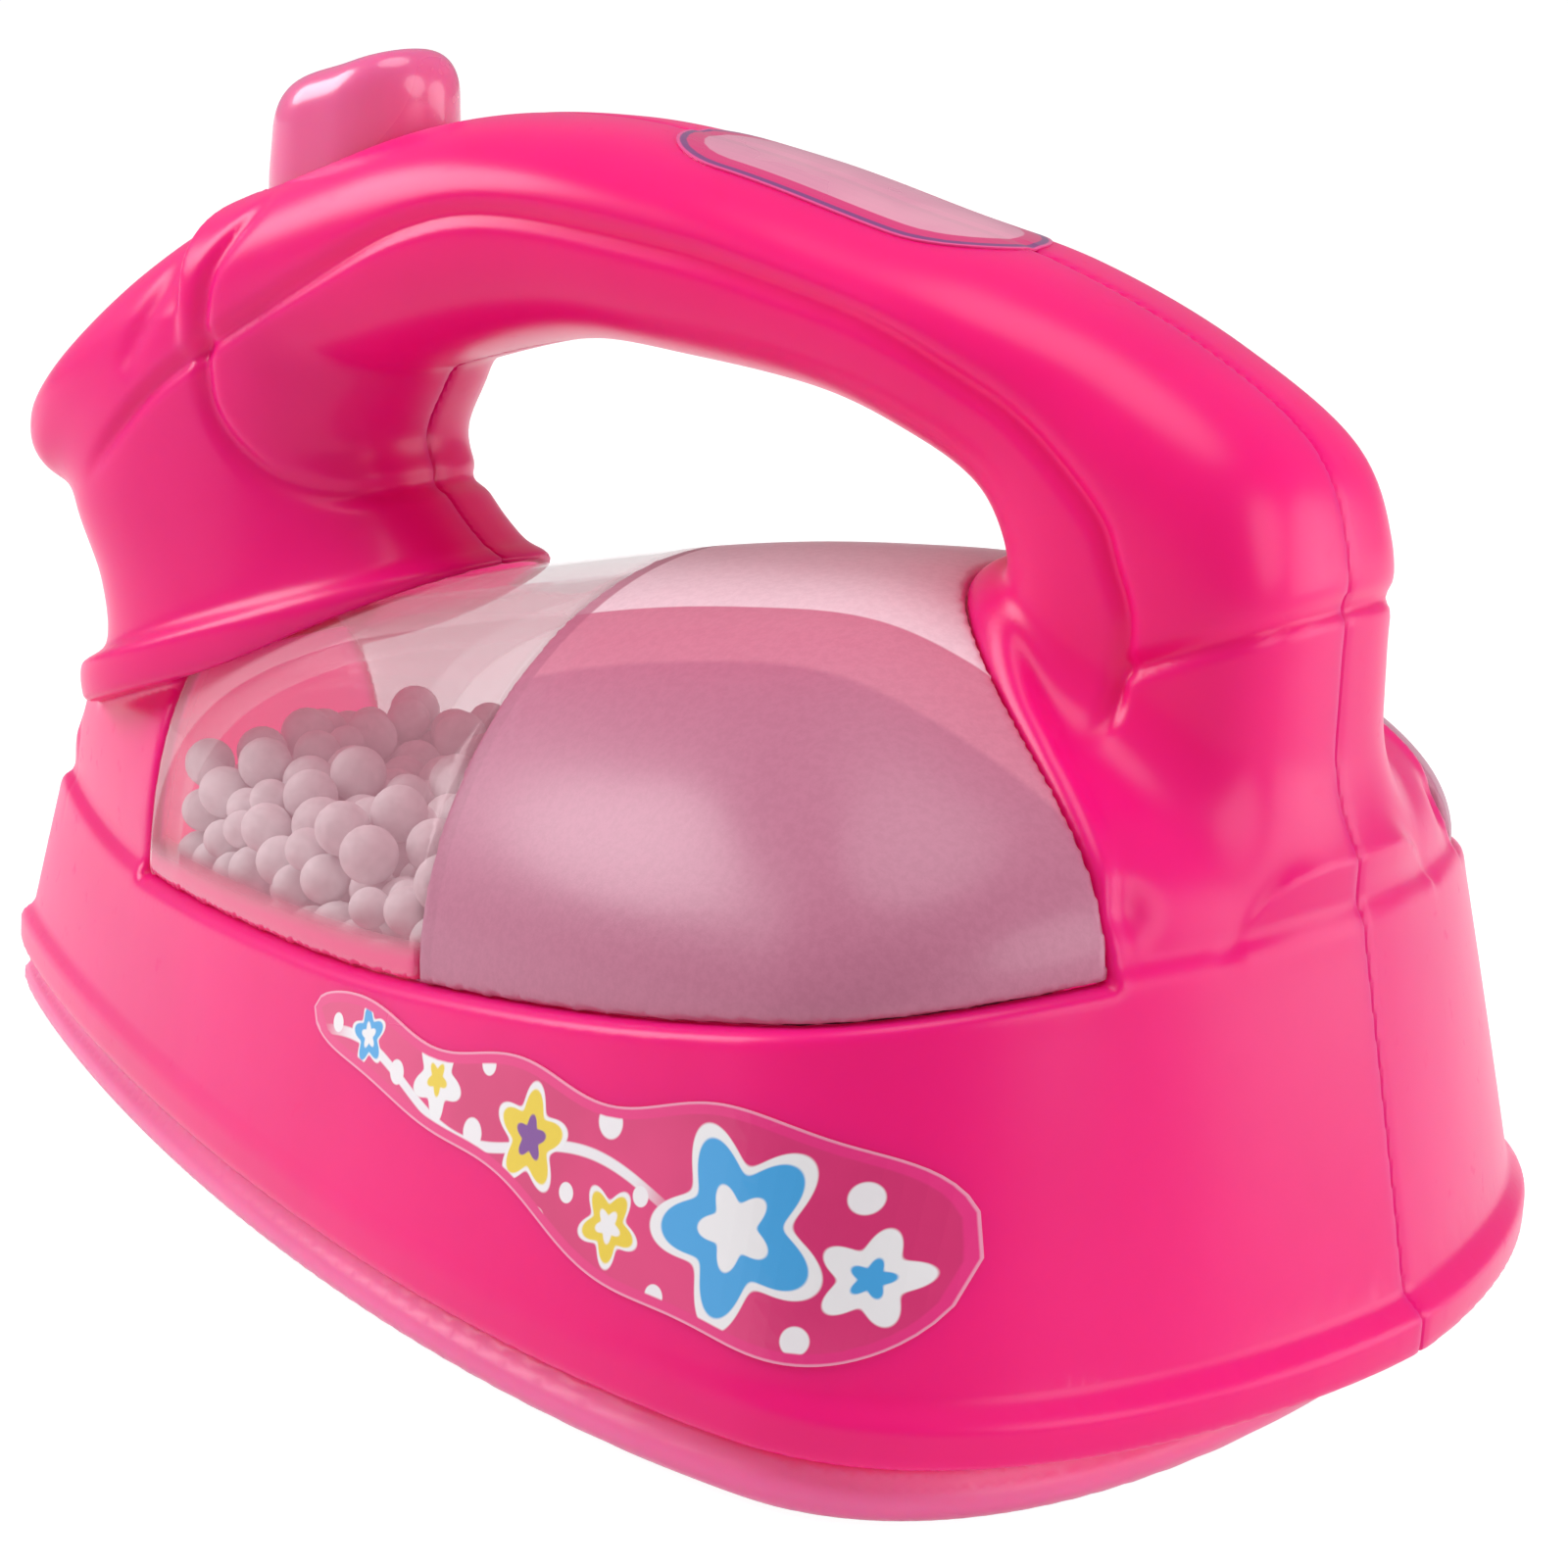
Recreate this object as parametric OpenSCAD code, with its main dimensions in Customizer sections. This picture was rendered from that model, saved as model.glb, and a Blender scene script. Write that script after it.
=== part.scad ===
// Toy iron with a bead window, a lamp cover, a stirring paddle and a push button.
// Millimetres. Z is up, the nose points to -X, the floor is z = 0.

/* [Body] */
// Length of the band from nose to heel
body_l = 151; // [140:1:165]
// Width of the band at its widest place
body_w = 99.4; // [94:0.2:106]
// Distance of the widest place behind the middle
wide_x = 47; // [43:1:50]
// Bluntness of the nose
nose_blunt = 2.5; // [2:0.5:6]
// Reach of the flank's curve ahead of the widest place
flank_l = 50; // [45:1:55]
// Reach of the heel's curve behind the widest place
heel_l = 24; // [22:1:27]
// Bluntness of the heel
heel_blunt = 8; // [6:0.5:14]
// Height of the band's lower edge above the floor
band_z = 4.4; // [4.2:0.1:5]
// Height of the flange at nose and heel
flange_h = 3.6; // [2.6:0.1:4.6]
// How far the flange stands out from the band
flange_out = 1.8; // [1:0.1:2.6]
// Inward lean of the band at nose and heel
lean_x = 4.2; // [3:0.2:6]
// Inward lean of the band at the flanks
lean_y = 4.4; // [3:0.2:6]
// Height of the rim at its lowest place
rim_low_z = 20.6; // [20:0.2:23]
// Height of the rim at the heel
rim_heel_z = 38.5; // [37:0.5:41]
// Width of the ledge between band and dome
ledge = 1; // [0.8:0.1:1.4]
// Rise of the dome above the rim
dome_h = 29; // [27:0.5:31]
// Wall of the housing
wall = 2; // [1.6:0.1:2.4]
// Clearance between pieces that are fixed together
fit = 0.2; // [0.12:0.02:0.3]

/* [Neck, spout and handle] */
// Middle of the neck along X
neck_x = -41; // [-44:0.5:-38]
// Width of the neck
neck_w = 28; // [25:0.5:31]
// Middle of the rear leg along X
leg_x = 50; // [47:0.5:53]
// Height of the handle's top
handle_z = 89.8; // [86:0.2:94]
// Thickness of the grip
grip_t = 17.6; // [16:0.2:19]
// Width of the grip
grip_w = 29; // [26:0.5:32]

/* [Window and lamp cover] */
// Place of the window's front edge
window_x = -43; // [-46:0.5:-40]
// Place of the partition between beads and lamp
partition_x = 6.2; // [4:0.2:8]
// Place of the deck's foremost point
deck_x = 32.5; // [30:0.5:35]
// Sweep of the deck's edge
deck_sweep = 0.04; // [0.034:0.001:0.046]
// Wall of the window and lamp cover
pane = 1.6; // [1.2:0.1:2]
// Depth of the skirt below the rim
skirt_h = 2.2; // [1.4:0.1:2.6]

/* [Beads and tray] */
// Diameter of a bead
bead_d = 5.8; // [5:0.1:6.4]
// Height of the bead pile
bead_z = 35; // [32:0.5:37]
// Floor of the tray, underside
tray_z = 16.2; // [16:0.1:16.6]
// Thickness of the tray
tray_t = 1.4; // [1:0.1:1.8]

/* [Sole and battery] */
// Thickness of the sole plate
sole_t = 3.2; // [2.8:0.1:3.6]
// Inset of the sole at the nose
sole_nose_in = 0.4; // [0.2:0.1:2]
// Inset of the sole at the heel
sole_heel_in = 5.6; // [4:0.2:7]
// Inset of the sole at the flanks
sole_side_in = 0.2; // [0:0.1:1]
// Diameter of a cell
cell_d = 14.3; // [13.9:0.1:14.5]
// Length of a cell without its stud
cell_l = 49.4; // [48:0.1:50]
// Wall of the battery tub
tub_wall = 1.5; // [1.2:0.1:1.8]
// Front end of the battery tub's inside
tub_x = -2; // [-3:0.5:0]
// Room for the contact springs
spring_room = 6; // [5:0.1:7]
// Thickness of the battery door
door_t = 2; // [1.6:0.1:2.2]

/* [Motor] */
// Place of the motor along X
motor_x = -22; // [-25:0.5:-20]
// Diameter of the motor can
motor_d = 17; // [15:0.2:18]
// Height of the motor can
motor_h = 16; // [14.5:0.1:16.5]
// Diameter of the motor shaft
shaft_d = 2; // [1.5:0.1:2.5]
// Radial clearance of the shaft
shaft_fit = 0.05; // [0.03:0.01:0.09]
// Reach of the paddle
paddle_r = 10.5; // [9:0.1:11]
// Height of the paddle's blades
paddle_h = 2.6; // [2:0.1:3.2]

/* [Button] */
// Place of the button along X
button_x = -34.5; // [-35.5:0.25:-33.5]
// Length of the button
button_l = 17.5; // [16.5:0.25:18.5]
// Width of the button
button_w = 14; // [12.5:0.25:15]
// Height of the button's top
button_z = 93.6; // [92:0.2:96]
// Running clearance round the button
button_fit = 0.4; // [0.3:0.05:0.6]
// Travel of the button
button_travel = 2.5; // [2:0.1:2.5]
// Wire of the button's spring
spring_wire = 0.7; // [0.5:0.05:0.9]
// Turns of the button's spring
spring_turns = 4; // [3:1:5]

/* [Stickers and wires] */
// Thickness of a sticker
film = 0.25; // [0.15:0.05:0.4]
// Height of a side sticker
side_film_h = 18; // [14:0.5:19]
// Width of the handle sticker
grip_film_w = 16; // [12:0.5:18]
// Diameter of a wire
wire_d = 1.4; // [1:0.1:1.8]

/* [Hidden] */
$fn = 32;

hot_pink = [0.96, 0.12, 0.49];
pale_pink = [0.9, 0.5, 0.68];
half_l = body_l / 2;
half_w = body_w / 2;
big = 400;

// Small helpers
function lerp(a, b, t) = a + (b - a) * t;
function clamp01(v) = min(1, max(0, v));
function spow(v, e) = sign(v) * pow(abs(v), e);
function bez(p, t) = pow(1 - t, 3) * p[0] + 3 * pow(1 - t, 2) * t * p[1]
    + 3 * (1 - t) * t * t * p[2] + pow(t, 3) * p[3];
function spline(p, t) = let (i = min(len(p) - 2, floor(t)), f = t - i,
        a = p[max(0, i - 1)], b = p[i], c = p[i + 1], d = p[min(len(p) - 1, i + 2)])
    b + f * ((c - a) / 2 + f * (a - 2.5 * b + 2 * c - d / 2 + f * (1.5 * (b - c) + (d - a) / 2)));
function slope(tab, i) = let (j = max(0, i - 1), k = min(len(tab) - 1, i + 1))
    (tab[k].y - tab[j].y) / (tab[k].x - tab[j].x);
function place(tab, x) = max([for (k = [0 : len(tab) - 2]) x >= tab[k].x ? k : 0]);
function curve_at(tab, x) = let (i = place(tab, x), a = tab[i], b = tab[i + 1], w = b.x - a.x,
        t = clamp01((x - a.x) / w))
    (2 * t * t * t - 3 * t * t + 1) * a.y + (t * t * t - 2 * t * t + t) * w * slope(tab, i)
    + (3 * t * t - 2 * t * t * t) * b.y + (t * t * t - t * t) * w * slope(tab, i + 1);

// A closed skin through rings of points. Each ring is symmetric about y = 0 and starts on it.
module skin(rings) {
    n = len(rings[0]);
    m = len(rings);
    points = [for (r = rings) each r];
    sides = [for (k = [0 : m - 2], i = [0 : n - 1]) let (j = (i + 1) % n, a = k * n, b = a + n)
        each [[a + i, b + i, a + j], [a + j, b + i, b + j]]];
    caps = [for (i = [0 : n / 2 - 1]) let (p = i, q = i + 1, r = (n - q) % n, s = (n - p) % n, t = (m - 1) * n)
        each concat(i == 0 ? [] : [[p, q, s], [t + p, t + s, t + q]],
            i == n / 2 - 1 ? [] : [[q, r, s], [t + q, t + s, t + r]])];
    polyhedron(points = points, faces = concat(sides, caps), convexity = 8);
}

// A closed tube through rings of points
module tube(rings) {
    n = len(rings[0]);
    m = len(rings);
    last = (m - 1) * n;
    points = [for (r = rings) each r];
    sides = [for (k = [0 : m - 2], i = [0 : n - 1]) let (j = (i + 1) % n, a = k * n, b = a + n)
        each [[a + i, a + j, b + i], [a + j, b + j, b + i]]];
    caps = [for (i = [1 : n - 2]) each [[0, i + 1, i], [last, last + i, last + i + 1]]];
    polyhedron(points = points, faces = concat(sides, caps), convexity = 8);
}

// Plan of the band: t runs 0 to 1 from nose to widest place, 1 to 2 on to the heel
plan_steps = 11;
nose_curve = [[-half_l, 0], [-half_l, nose_blunt], [wide_x - flank_l, half_w], [wide_x, half_w]];
heel_curve = [[wide_x, half_w], [wide_x + heel_l, half_w], [half_l, heel_blunt], [half_l, 0]];
function plan(t) = t < 1 ? bez(nose_curve, t) : bez(heel_curve, t - 1);
half_plan = [for (i = [0 : 2 * plan_steps]) plan(i / plan_steps)];
function mirrored(half) = concat(half, [for (i = [len(half) - 2 : -1 : 1]) [half[i].x, -half[i].y, half[i].z]]);
function inset(p, dx, dy) = [p.x * (half_l - dx) / half_l, p.y * (half_w - dy) / half_w];

// Heights of the rim and of the dome's crest
rim_sweep = [[-1, 0.16], [-0.8, 0.035], [-0.62, 0], [-0.44, 0.055], [-0.24, 0.14], [-0.02, 0.245], [0.2, 0.39],
    [0.41, 0.54], [0.62, 0.71], [0.82, 0.88], [1, 1]];
function rim(x) = lerp(rim_low_z, rim_heel_z, curve_at(rim_sweep, x / half_l));
foot_z = band_z + flange_h + 0.8;
foot_dx = flange_out;
foot_dy = 0.4;
rim_dx = foot_dx + lean_x;
rim_dy = foot_dy + lean_y;
dome_dx = rim_dx + ledge;
dome_dy = rim_dy + ledge;
dome_l = half_l - dome_dx;
crest_rise = [[-1, 0.06], [-0.95, 0.39], [-0.84, 0.655], [-0.62, 0.81], [-0.3, 0.92], [0.04, 1.02],
    [0.3, 1.02], [0.5, 0.95], [0.7, 0.69], [0.89, 0.355], [1, 0.06]];
function rise(x) = dome_h * curve_at(crest_rise, x / dome_l);
function crest(x) = rim(x) + rise(x);
function roundness(x) = lerp(0.87, 1.05, clamp01((x / dome_l + 0.29) / 0.35));

// Rings of the body, shrunk by off
function level(dx, dy, z) = mirrored([for (p = half_plan) let (q = inset(p, dx, dy)) [q.x, -q.y, z]]);
function rim_level(dx, dy, up) = mirrored([for (p = half_plan) let (q = inset(p, dx, dy)) [q.x, -q.y, rim(q.x) + up]]);
function dome_level(off, a) = mirrored([for (p = half_plan) let (q = inset(p, dome_dx + off, dome_dy + off),
        e = roundness(q.x), h = max(0.4, rise(q.x) - off))
    [q.x, -q.y * spow(cos(a), e), rim(q.x) + h * spow(sin(a), e)]]);
dome_angles = [14, 28, 42, 56, 69, 81];
module dome(off, up) skin(concat([rim_level(dome_dx + off, dome_dy + off, up)],
    [for (a = dome_angles) dome_level(off, a)]));
module body_outer() skin(concat(
    [level(0, 0, band_z), level(0, 0, band_z + flange_h), level(foot_dx, foot_dy, foot_z),
     rim_level(rim_dx, rim_dy, 0), rim_level(dome_dx, dome_dy, 0)],
    [for (a = dome_angles) dome_level(0, a)]));
module body_inner(off) skin(concat(
    [level(foot_dx + off, foot_dy + off, band_z - 1), level(foot_dx + off, foot_dy + off, foot_z),
     rim_level(rim_dx + off, rim_dy + off, 0)],
    [for (a = dome_angles) dome_level(off, a)]));

// Stations of neck, spout and handle: one edge (x, z), the other edge (x, z), half width
lip_front = rim(neck_x - 21) + 10;
lip_rear = crest(neck_x + 25) - 3.2;
grip_under = handle_z - grip_t;
neck_stations = [
    [neck_x - 20.5, lip_front, neck_x + 25, lip_rear, neck_w / 2 + 1.5],
    [neck_x - 21, lip_front + 3.5, neck_x + 24.5, lip_rear + 3.5, neck_w / 2 + 1.5],
    [neck_x - 19, lip_front + 6, neck_x + 21.5, lip_rear + 5, neck_w / 2],
    [neck_x - 20, grip_under - 29, neck_x + 17.5, lip_rear + 8.5, neck_w / 2 - 0.5],
    [neck_x - 23.5, grip_under - 21.5, neck_x + 14.5, grip_under - 11.5, neck_w / 2 - 0.5],
    [neck_x - 22, grip_under - 15, neck_x + 17, grip_under - 5, neck_w / 2 - 0.5],
    [neck_x - 12, grip_under - 6, neck_x + 18, grip_under + 3, neck_w / 2 - 1]];
spout_stations = [
    [neck_x - 2, handle_z - 9.8, neck_x - 4, handle_z - 34, grip_w / 2 - 1.5],
    [neck_x - 12, handle_z - 15.5, neck_x - 15, handle_z - 38, grip_w / 2 - 2.5],
    [neck_x - 21, handle_z - 22.5, neck_x - 23, handle_z - 39, grip_w / 2 - 4.5],
    [neck_x - 27, handle_z - 28.5, neck_x - 27, handle_z - 37.5, grip_w / 2 - 7.5],
    [neck_x - 29.5, handle_z - 32, neck_x - 29, handle_z - 35, grip_w / 2 - 11.5]];
handle_stations = [
    [neck_x - 4, handle_z - 10, neck_x, grip_under - 12, grip_w / 2 - 0.5],
    [neck_x + 18, handle_z - 2, neck_x + 21, grip_under - 3.5, grip_w / 2],
    [neck_x + 34, handle_z, neck_x + 35, grip_under, grip_w / 2],
    [neck_x + 50, handle_z - 1.6, neck_x + 48, grip_under, grip_w / 2],
    [leg_x - 26, handle_z - 4.6, leg_x - 30, grip_under - 1.2, grip_w / 2 - 0.3],
    [leg_x - 14, handle_z - 7.4, leg_x - 22, grip_under - 4, grip_w / 2 - 0.5],
    [leg_x - 2, handle_z - 13, leg_x - 17.5, grip_under - 7.7, grip_w / 2 - 1],
    [leg_x + 8, handle_z - 19.5, leg_x - 15.5, grip_under - 12.2, grip_w / 2 - 1],
    [leg_x + 13.5, handle_z - 26, leg_x - 14.8, grip_under - 16, grip_w / 2 - 1],
    [leg_x + 16.5, handle_z - 34, leg_x - 15, grip_under - 21, grip_w / 2 + 0.5],
    [leg_x + 18, handle_z - 44, leg_x - 16, grip_under - 29, grip_w / 2 + 3]];
ring_points = 20;
ring_e = 0.82;
function shrunk(s, off) = let (d = [s[2] - s[0], s[3] - s[1]], u = d / norm(d) * min(off, norm(d) / 2 - 0.3))
    [s[0] + u.x, s[1] + u.y, s[2] - u.x, s[3] - u.y, max(0.4, s[4] - off)];
function ring_at(s, a) = let (k = spow(cos(a), ring_e), c = [s[0] + s[2], s[1] + s[3]] / 2,
        h = [s[0] - s[2], s[1] - s[3]] / 2)
    [c.x + h.x * k, s[4] * spow(sin(a), ring_e), c.y + h.y * k];
function ring(s) = [for (i = [0 : ring_points - 1]) ring_at(s, 360 * i / ring_points)];
function rings(stations, off, per) = [for (i = [0 : per * (len(stations) - 1)])
    ring(shrunk(spline(stations, i / per), off))];
function backwards(list) = [for (i = [len(list) - 1 : -1 : 0]) list[i]];
function lowered(s, dz) = [s[0], s[1] - dz, s[2], s[3] - dz, s[4]];
module neck(off, deeper) skin(backwards(rings(concat([lowered(neck_stations[0], deeper)],
    [for (i = [1 : len(neck_stations) - 1]) neck_stations[i]]), off, 2)));
module spout(off) skin(rings(spout_stations, off, 2));
module handle(off, deeper) skin(backwards(concat(rings(handle_stations, off, 2),
    [ring(shrunk(lowered(handle_stations[len(handle_stations) - 1], deeper), off))])));

// Housing
leg_foot = 11;
module outer_form() {
    body_outer();
    neck(0, 0);
    spout(0);
    handle(0, leg_foot);
}
module inner_form(off) {
    body_inner(off);
    neck(off, -off);
    spout(off);
    handle(off, leg_foot + 4);
}
deck_y = 45;
deck_steps = 10;
module opening_plan(gap) offset(delta = -gap) polygon(concat(
    [[window_x, deck_y], [window_x, -deck_y]],
    [for (i = [-deck_steps : deck_steps]) let (y = deck_y * i / deck_steps) [deck_x + deck_sweep * y * y, y]]));
module window_space() intersection() {
    dome(-fit, -0.01);
    linear_extrude(big) opening_plan(0);
}
module stadium(l, w) hull() for (s = [-1, 1]) translate([s * (l - w) / 2, 0]) circle(d = w);
module button_hole() translate([button_x, 0, handle_z - 12.5]) linear_extrude(big)
    stadium(button_l + 2 * button_fit, button_w + 2 * button_fit);

boss_d = 6;
pilot_d = 2.4;
screw_d = 2.2;
head_d = 4.6;
head_h = 1.6;
well_d = 5.2;
sleeve_d = well_d + 2.4;
pilot_l = 6.4;
well_y = 4;
gusset_l = 6;
gusset_t = 1.4;
parting_bosses = [[neck_x - 10, handle_z - 26], [neck_x + 29, handle_z - 11], [leg_x + 2, handle_z - 23],
    [-half_l + 21, band_z + 7.6]];
boss_z = band_z + 1.2;
boss_h = 10;
sole_bosses = [[-half_l + 31, 9], [half_l - 14, 23]];
module side_rod(p, d, y0, y1) translate([p.x, y0, p.y]) rotate([-90, 0, 0])
    cylinder(d = d, h = y1 - y0, $fn = 20);
module gusset(p, side) hull() {
    translate([p.x, -half_w, p.y - gusset_t / 2]) cube([0.1, half_w - well_y, gusset_t]);
    translate([p.x + side * gusset_l, -half_w, p.y - gusset_t / 2]) cube([0.1, half_w - 2 * well_y, gusset_t]);
}
module bosses(d) intersection() {
    inner_form(wall / 2);
    union() {
        for (p = parting_bosses) {
            side_rod(p, d, -half_w, 0);
            for (s = [-1, 1]) gusset(p, s);
        }
        for (p = sole_bosses) {
            translate([p.x, -p.y, boss_z]) cylinder(d = boss_d, h = boss_h);
            hull() for (y = [0, half_w]) translate([p.x, -p.y - y, boss_z + boss_h / 2])
                cube([gusset_t, gusset_t, boss_h - 1], center = true);
        }
        board_shelf();
    }
}
board_z = handle_z - 24.4;
board_l = 17;
board_w = 14;
board_t = 1.4;
shelf_t = 1.6;
board_x = button_x - 3.5;
module board_shelf() translate([board_x - board_l / 2 + 3, -half_w, board_z - fit - shelf_t])
    cube([board_l - 6, half_w - board_w / 2 + 2, shelf_t]);

module half_shell(well) color(hot_pink) difference() {
    union() {
        intersection() {
            difference() {
                outer_form();
                inner_form(wall);
            }
            translate([-big / 2, -big, 0]) cube(big);
        }
        bosses(well ? sleeve_d : boss_d);
    }
    window_space();
    button_hole();
    for (p = parting_bosses)
        if (well) {
            side_rod(p, screw_d + 0.8, -well_y - 1, 1);
            side_rod(p, well_d, -big, -well_y);
        } else side_rod(p, pilot_d, -pilot_l, 1);
    for (p = sole_bosses) translate([p.x, -p.y, boss_z - 1]) cylinder(d = pilot_d, h = boss_h);
}
module left_housing() half_shell(false);
module right_housing() mirror([0, 1, 0]) half_shell(true);

// Window and lamp cover
module skirt() difference() {
    skin([rim_level(rim_dx + wall + fit, rim_dy + wall + fit, -skirt_h),
        rim_level(rim_dx + wall + fit, rim_dy + wall + fit, 0.4),
        rim_level(rim_dx + wall + fit, rim_dy + wall + fit, 0.8)]);
    skin([rim_level(dome_dx + pane + fit, dome_dy + pane + fit, -skirt_h - 1),
        rim_level(dome_dx + pane + fit, dome_dy + pane + fit, 2)]);
}
module dome_pane() {
    difference() {
        dome(0, 0.1);
        dome(pane, -0.5);
    }
    skirt();
}
module front_window() color([0.97, 0.9, 0.93, 0.5]) intersection() {
    dome_pane();
    linear_extrude(big) intersection() {
        opening_plan(fit);
        translate([-big, -big / 2]) square([big + partition_x, big]);
    }
}
partition_t = 2;
module lamp_cover() color([0.85, 0.6, 0.7, 0.8]) {
    intersection() {
        dome_pane();
        linear_extrude(big) intersection() {
            opening_plan(fit);
            translate([partition_x + fit, -big / 2]) square(big);
        }
    }
    intersection() {
        dome(pane - 0.4, -6);
        translate([partition_x + fit, -big / 2, step_z + tray_t + fit]) cube([partition_t, big, big]);
    }
}

// Bead tray with a raised step over the battery tub and a cup over the motor
tray_dx = rim_dx + wall + 3 * fit;
tray_dy = rim_dy + wall + 3 * fit;
tub_in_l = cell_l + spring_room;
tub_in_w = 2 * cell_d + 2.4;
tub_top = sole_t + cell_d + 1.2;
step_z = tub_top + tub_wall + 3 * fit;
step_x = tub_x - tub_wall - 2 * fit;
motor_z = sole_t + 3.2;
cup_d = motor_d + 2 * fit + 2 * tray_t;
cup_z = motor_z + motor_h + fit;
module tray_plan() intersection() {
    polygon([for (p = mirrored([for (h = half_plan) [h.x, h.y, 0]])) inset(p, tray_dx, tray_dy)]);
    translate([-half_l + 19, -half_w]) square([half_l - 19 + partition_x, body_w]);
}
module bead_tray() color(hot_pink) difference() {
    union() {
        translate([0, 0, tray_z]) linear_extrude(tray_t) intersection() {
            tray_plan();
            translate([-big, -big / 2]) square([big + step_x, big]);
        }
        translate([0, 0, tray_z]) linear_extrude(step_z + tray_t - tray_z) intersection() {
            tray_plan();
            translate([step_x - tray_t, -big / 2]) square([tray_t, big]);
        }
        translate([0, 0, step_z]) linear_extrude(tray_t) intersection() {
            tray_plan();
            translate([step_x - tray_t, -big / 2]) square(big);
        }
        translate([motor_x, 0, tray_z]) cylinder(d = cup_d, h = cup_z + tray_t - tray_z);
    }
    translate([motor_x, 0, tray_z - 1]) cylinder(d = motor_d + 2 * fit, h = cup_z - tray_z + 1);
    translate([motor_x, 0, tray_z]) cylinder(d = shaft_d + 2 * shaft_fit, h = big);
}

// Foam beads in a close packing, kept clear of the pane, the tray, the partition and the paddle
bead_gap = 0.14;
bead_pitch = bead_d + bead_gap;
bead_rows = [-5 : 5];
paddle_z = cup_z + tray_t + 0.6;
function bead_floor(x) = x > step_x - tray_t - bead_d / 2 ? step_z + tray_t : tray_z + tray_t;
function half_at(x) = max([for (p = half_plan) let (q = inset(p, dome_dx + pane, dome_dy + pane))
    q.x <= x ? q.y : 0]);
function bead_room(p) = let (s = (abs(p.y) + bead_d / 2 + 0.4) / max(1, half_at(min(p.x, wide_x) - 2)),
        top = rim(p.x) + (rise(p.x) - pane) * sqrt(max(0, 1 - s * s)) - bead_d / 2 - 0.6)
    s < 1 && p.z < min(bead_z - bead_d / 2, top) && p.x > window_x + bead_d / 2 + 1.4
    && p.x < partition_x - bead_d / 2 - 0.2 && p.z > bead_floor(p.x) + bead_d / 2
    && norm([p.x - motor_x, p.y]) > max(cup_d / 2, paddle_r) + bead_d / 2 + 0.6;
// The heap over the paddle: one bead, six round it and three on top
heap_clear = 0.6;
heap = concat([[0, 0, 0]], [for (a = [0 : 60 : 300]) bead_pitch * [cos(a), sin(a), 0]],
    [for (a = [30 : 120 : 270]) bead_pitch * [cos(a) / sqrt(3), sin(a) / sqrt(3), sqrt(2 / 3)]]);
module bead(p) translate(p) sphere(d = bead_d, $fn = 24);
module foam_beads() color("white") {
    for (k = [0 : 4], j = bead_rows, i = [0 : 9])
        let (p = [window_x + 4.4 + bead_pitch * (i + (j + k) % 2 / 2),
                bead_pitch * (j * 0.8661 + (k % 2) * 0.2887),
                tray_z + tray_t + bead_d / 2 + 0.1 + k * bead_pitch * 0.8165])
            if (bead_room(p)) bead(p);
    translate([motor_x, 0, paddle_z + paddle_h + heap_clear + bead_d / 2]) for (p = heap) bead(p);
}

// Sole plate with its inner rim, battery tub and seats
sole_nose = [[-half_l + sole_nose_in, 0], [-half_l + sole_nose_in, nose_blunt], nose_curve[2], nose_curve[3]];
sole_heel = [heel_curve[0], heel_curve[1], [half_l - sole_heel_in, heel_blunt], [half_l - sole_heel_in, 0]];
half_sole = [for (i = [0 : 2 * plan_steps]) let (t = i / plan_steps) t < 1 ? bez(sole_nose, t) : bez(sole_heel, t - 1)];
sole_edges = [[0, 1.3], [0.5, 0.5], [1.2, 0]];
module sole_plan(off) polygon([for (p = mirrored([for (h = half_sole) [h.x, h.y, 0]]))
    inset(p, off, sole_side_in + off)]);
inner_rim_in = 3;
inner_rim_h = boss_z - sole_t - fit;
inner_rim_x = -half_l + 23;
door_lap = 2;
door_end = 9;
door_z = 0.3;
door_screw_x = tub_x + tub_in_l + door_end - 4;
module door_plan(gap) translate([tub_x - door_lap - gap, -tub_in_w / 2 - door_lap - gap])
    square([tub_in_l + door_lap + door_end + 2 * gap, tub_in_w + 2 * door_lap + 2 * gap]);
module sole_plate() color(pale_pink) difference() {
    union() {
        for (i = [0 : len(sole_edges) - 1]) let (e = sole_edges[i],
                top = i == len(sole_edges) - 1 ? sole_t : sole_edges[i + 1][0])
            translate([0, 0, e[0]]) linear_extrude(top - e[0]) sole_plan(e[1]);
        translate([0, 0, sole_t]) linear_extrude(inner_rim_h) difference() {
            intersection() {
                sole_plan(inner_rim_in);
                translate([inner_rim_x, -half_w]) square([body_l, body_w]);
            }
            sole_plan(inner_rim_in + tub_wall);
        }
        translate([tub_x - tub_wall, -tub_in_w / 2 - tub_wall, sole_t])
            cube([tub_in_l + 2 * tub_wall, tub_in_w + 2 * tub_wall, tub_top + tub_wall - sole_t]);
        translate([motor_x, 0, sole_t]) cylinder(d = motor_d + 2 * fit + 3, h = motor_z - sole_t - fit);
        translate([door_screw_x, 0, sole_t]) cylinder(d = boss_d, h = 7);
        for (p = sole_bosses, s = [-1, 1]) translate([p.x, s * p.y, sole_t])
            cylinder(d = boss_d, h = boss_z - sole_t - fit);
    }
    translate([tub_x, -tub_in_w / 2, -1]) cube([tub_in_l, tub_in_w, tub_top + 1]);
    translate([0, 0, -1]) linear_extrude(1 + door_z + door_t + fit) door_plan(fit);
    translate([motor_x, 0, motor_z - 2.4]) cylinder(d = motor_d + 2 * fit, h = big);
    translate([door_screw_x, 0, -1]) cylinder(d = pilot_d, h = 10);
    for (p = sole_bosses, s = [-1, 1]) translate([p.x, s * p.y, -1]) {
        cylinder(d = screw_d + 0.8, h = big);
        cylinder(d = well_d, h = 1 + head_h + 0.4);
    }
}
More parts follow.
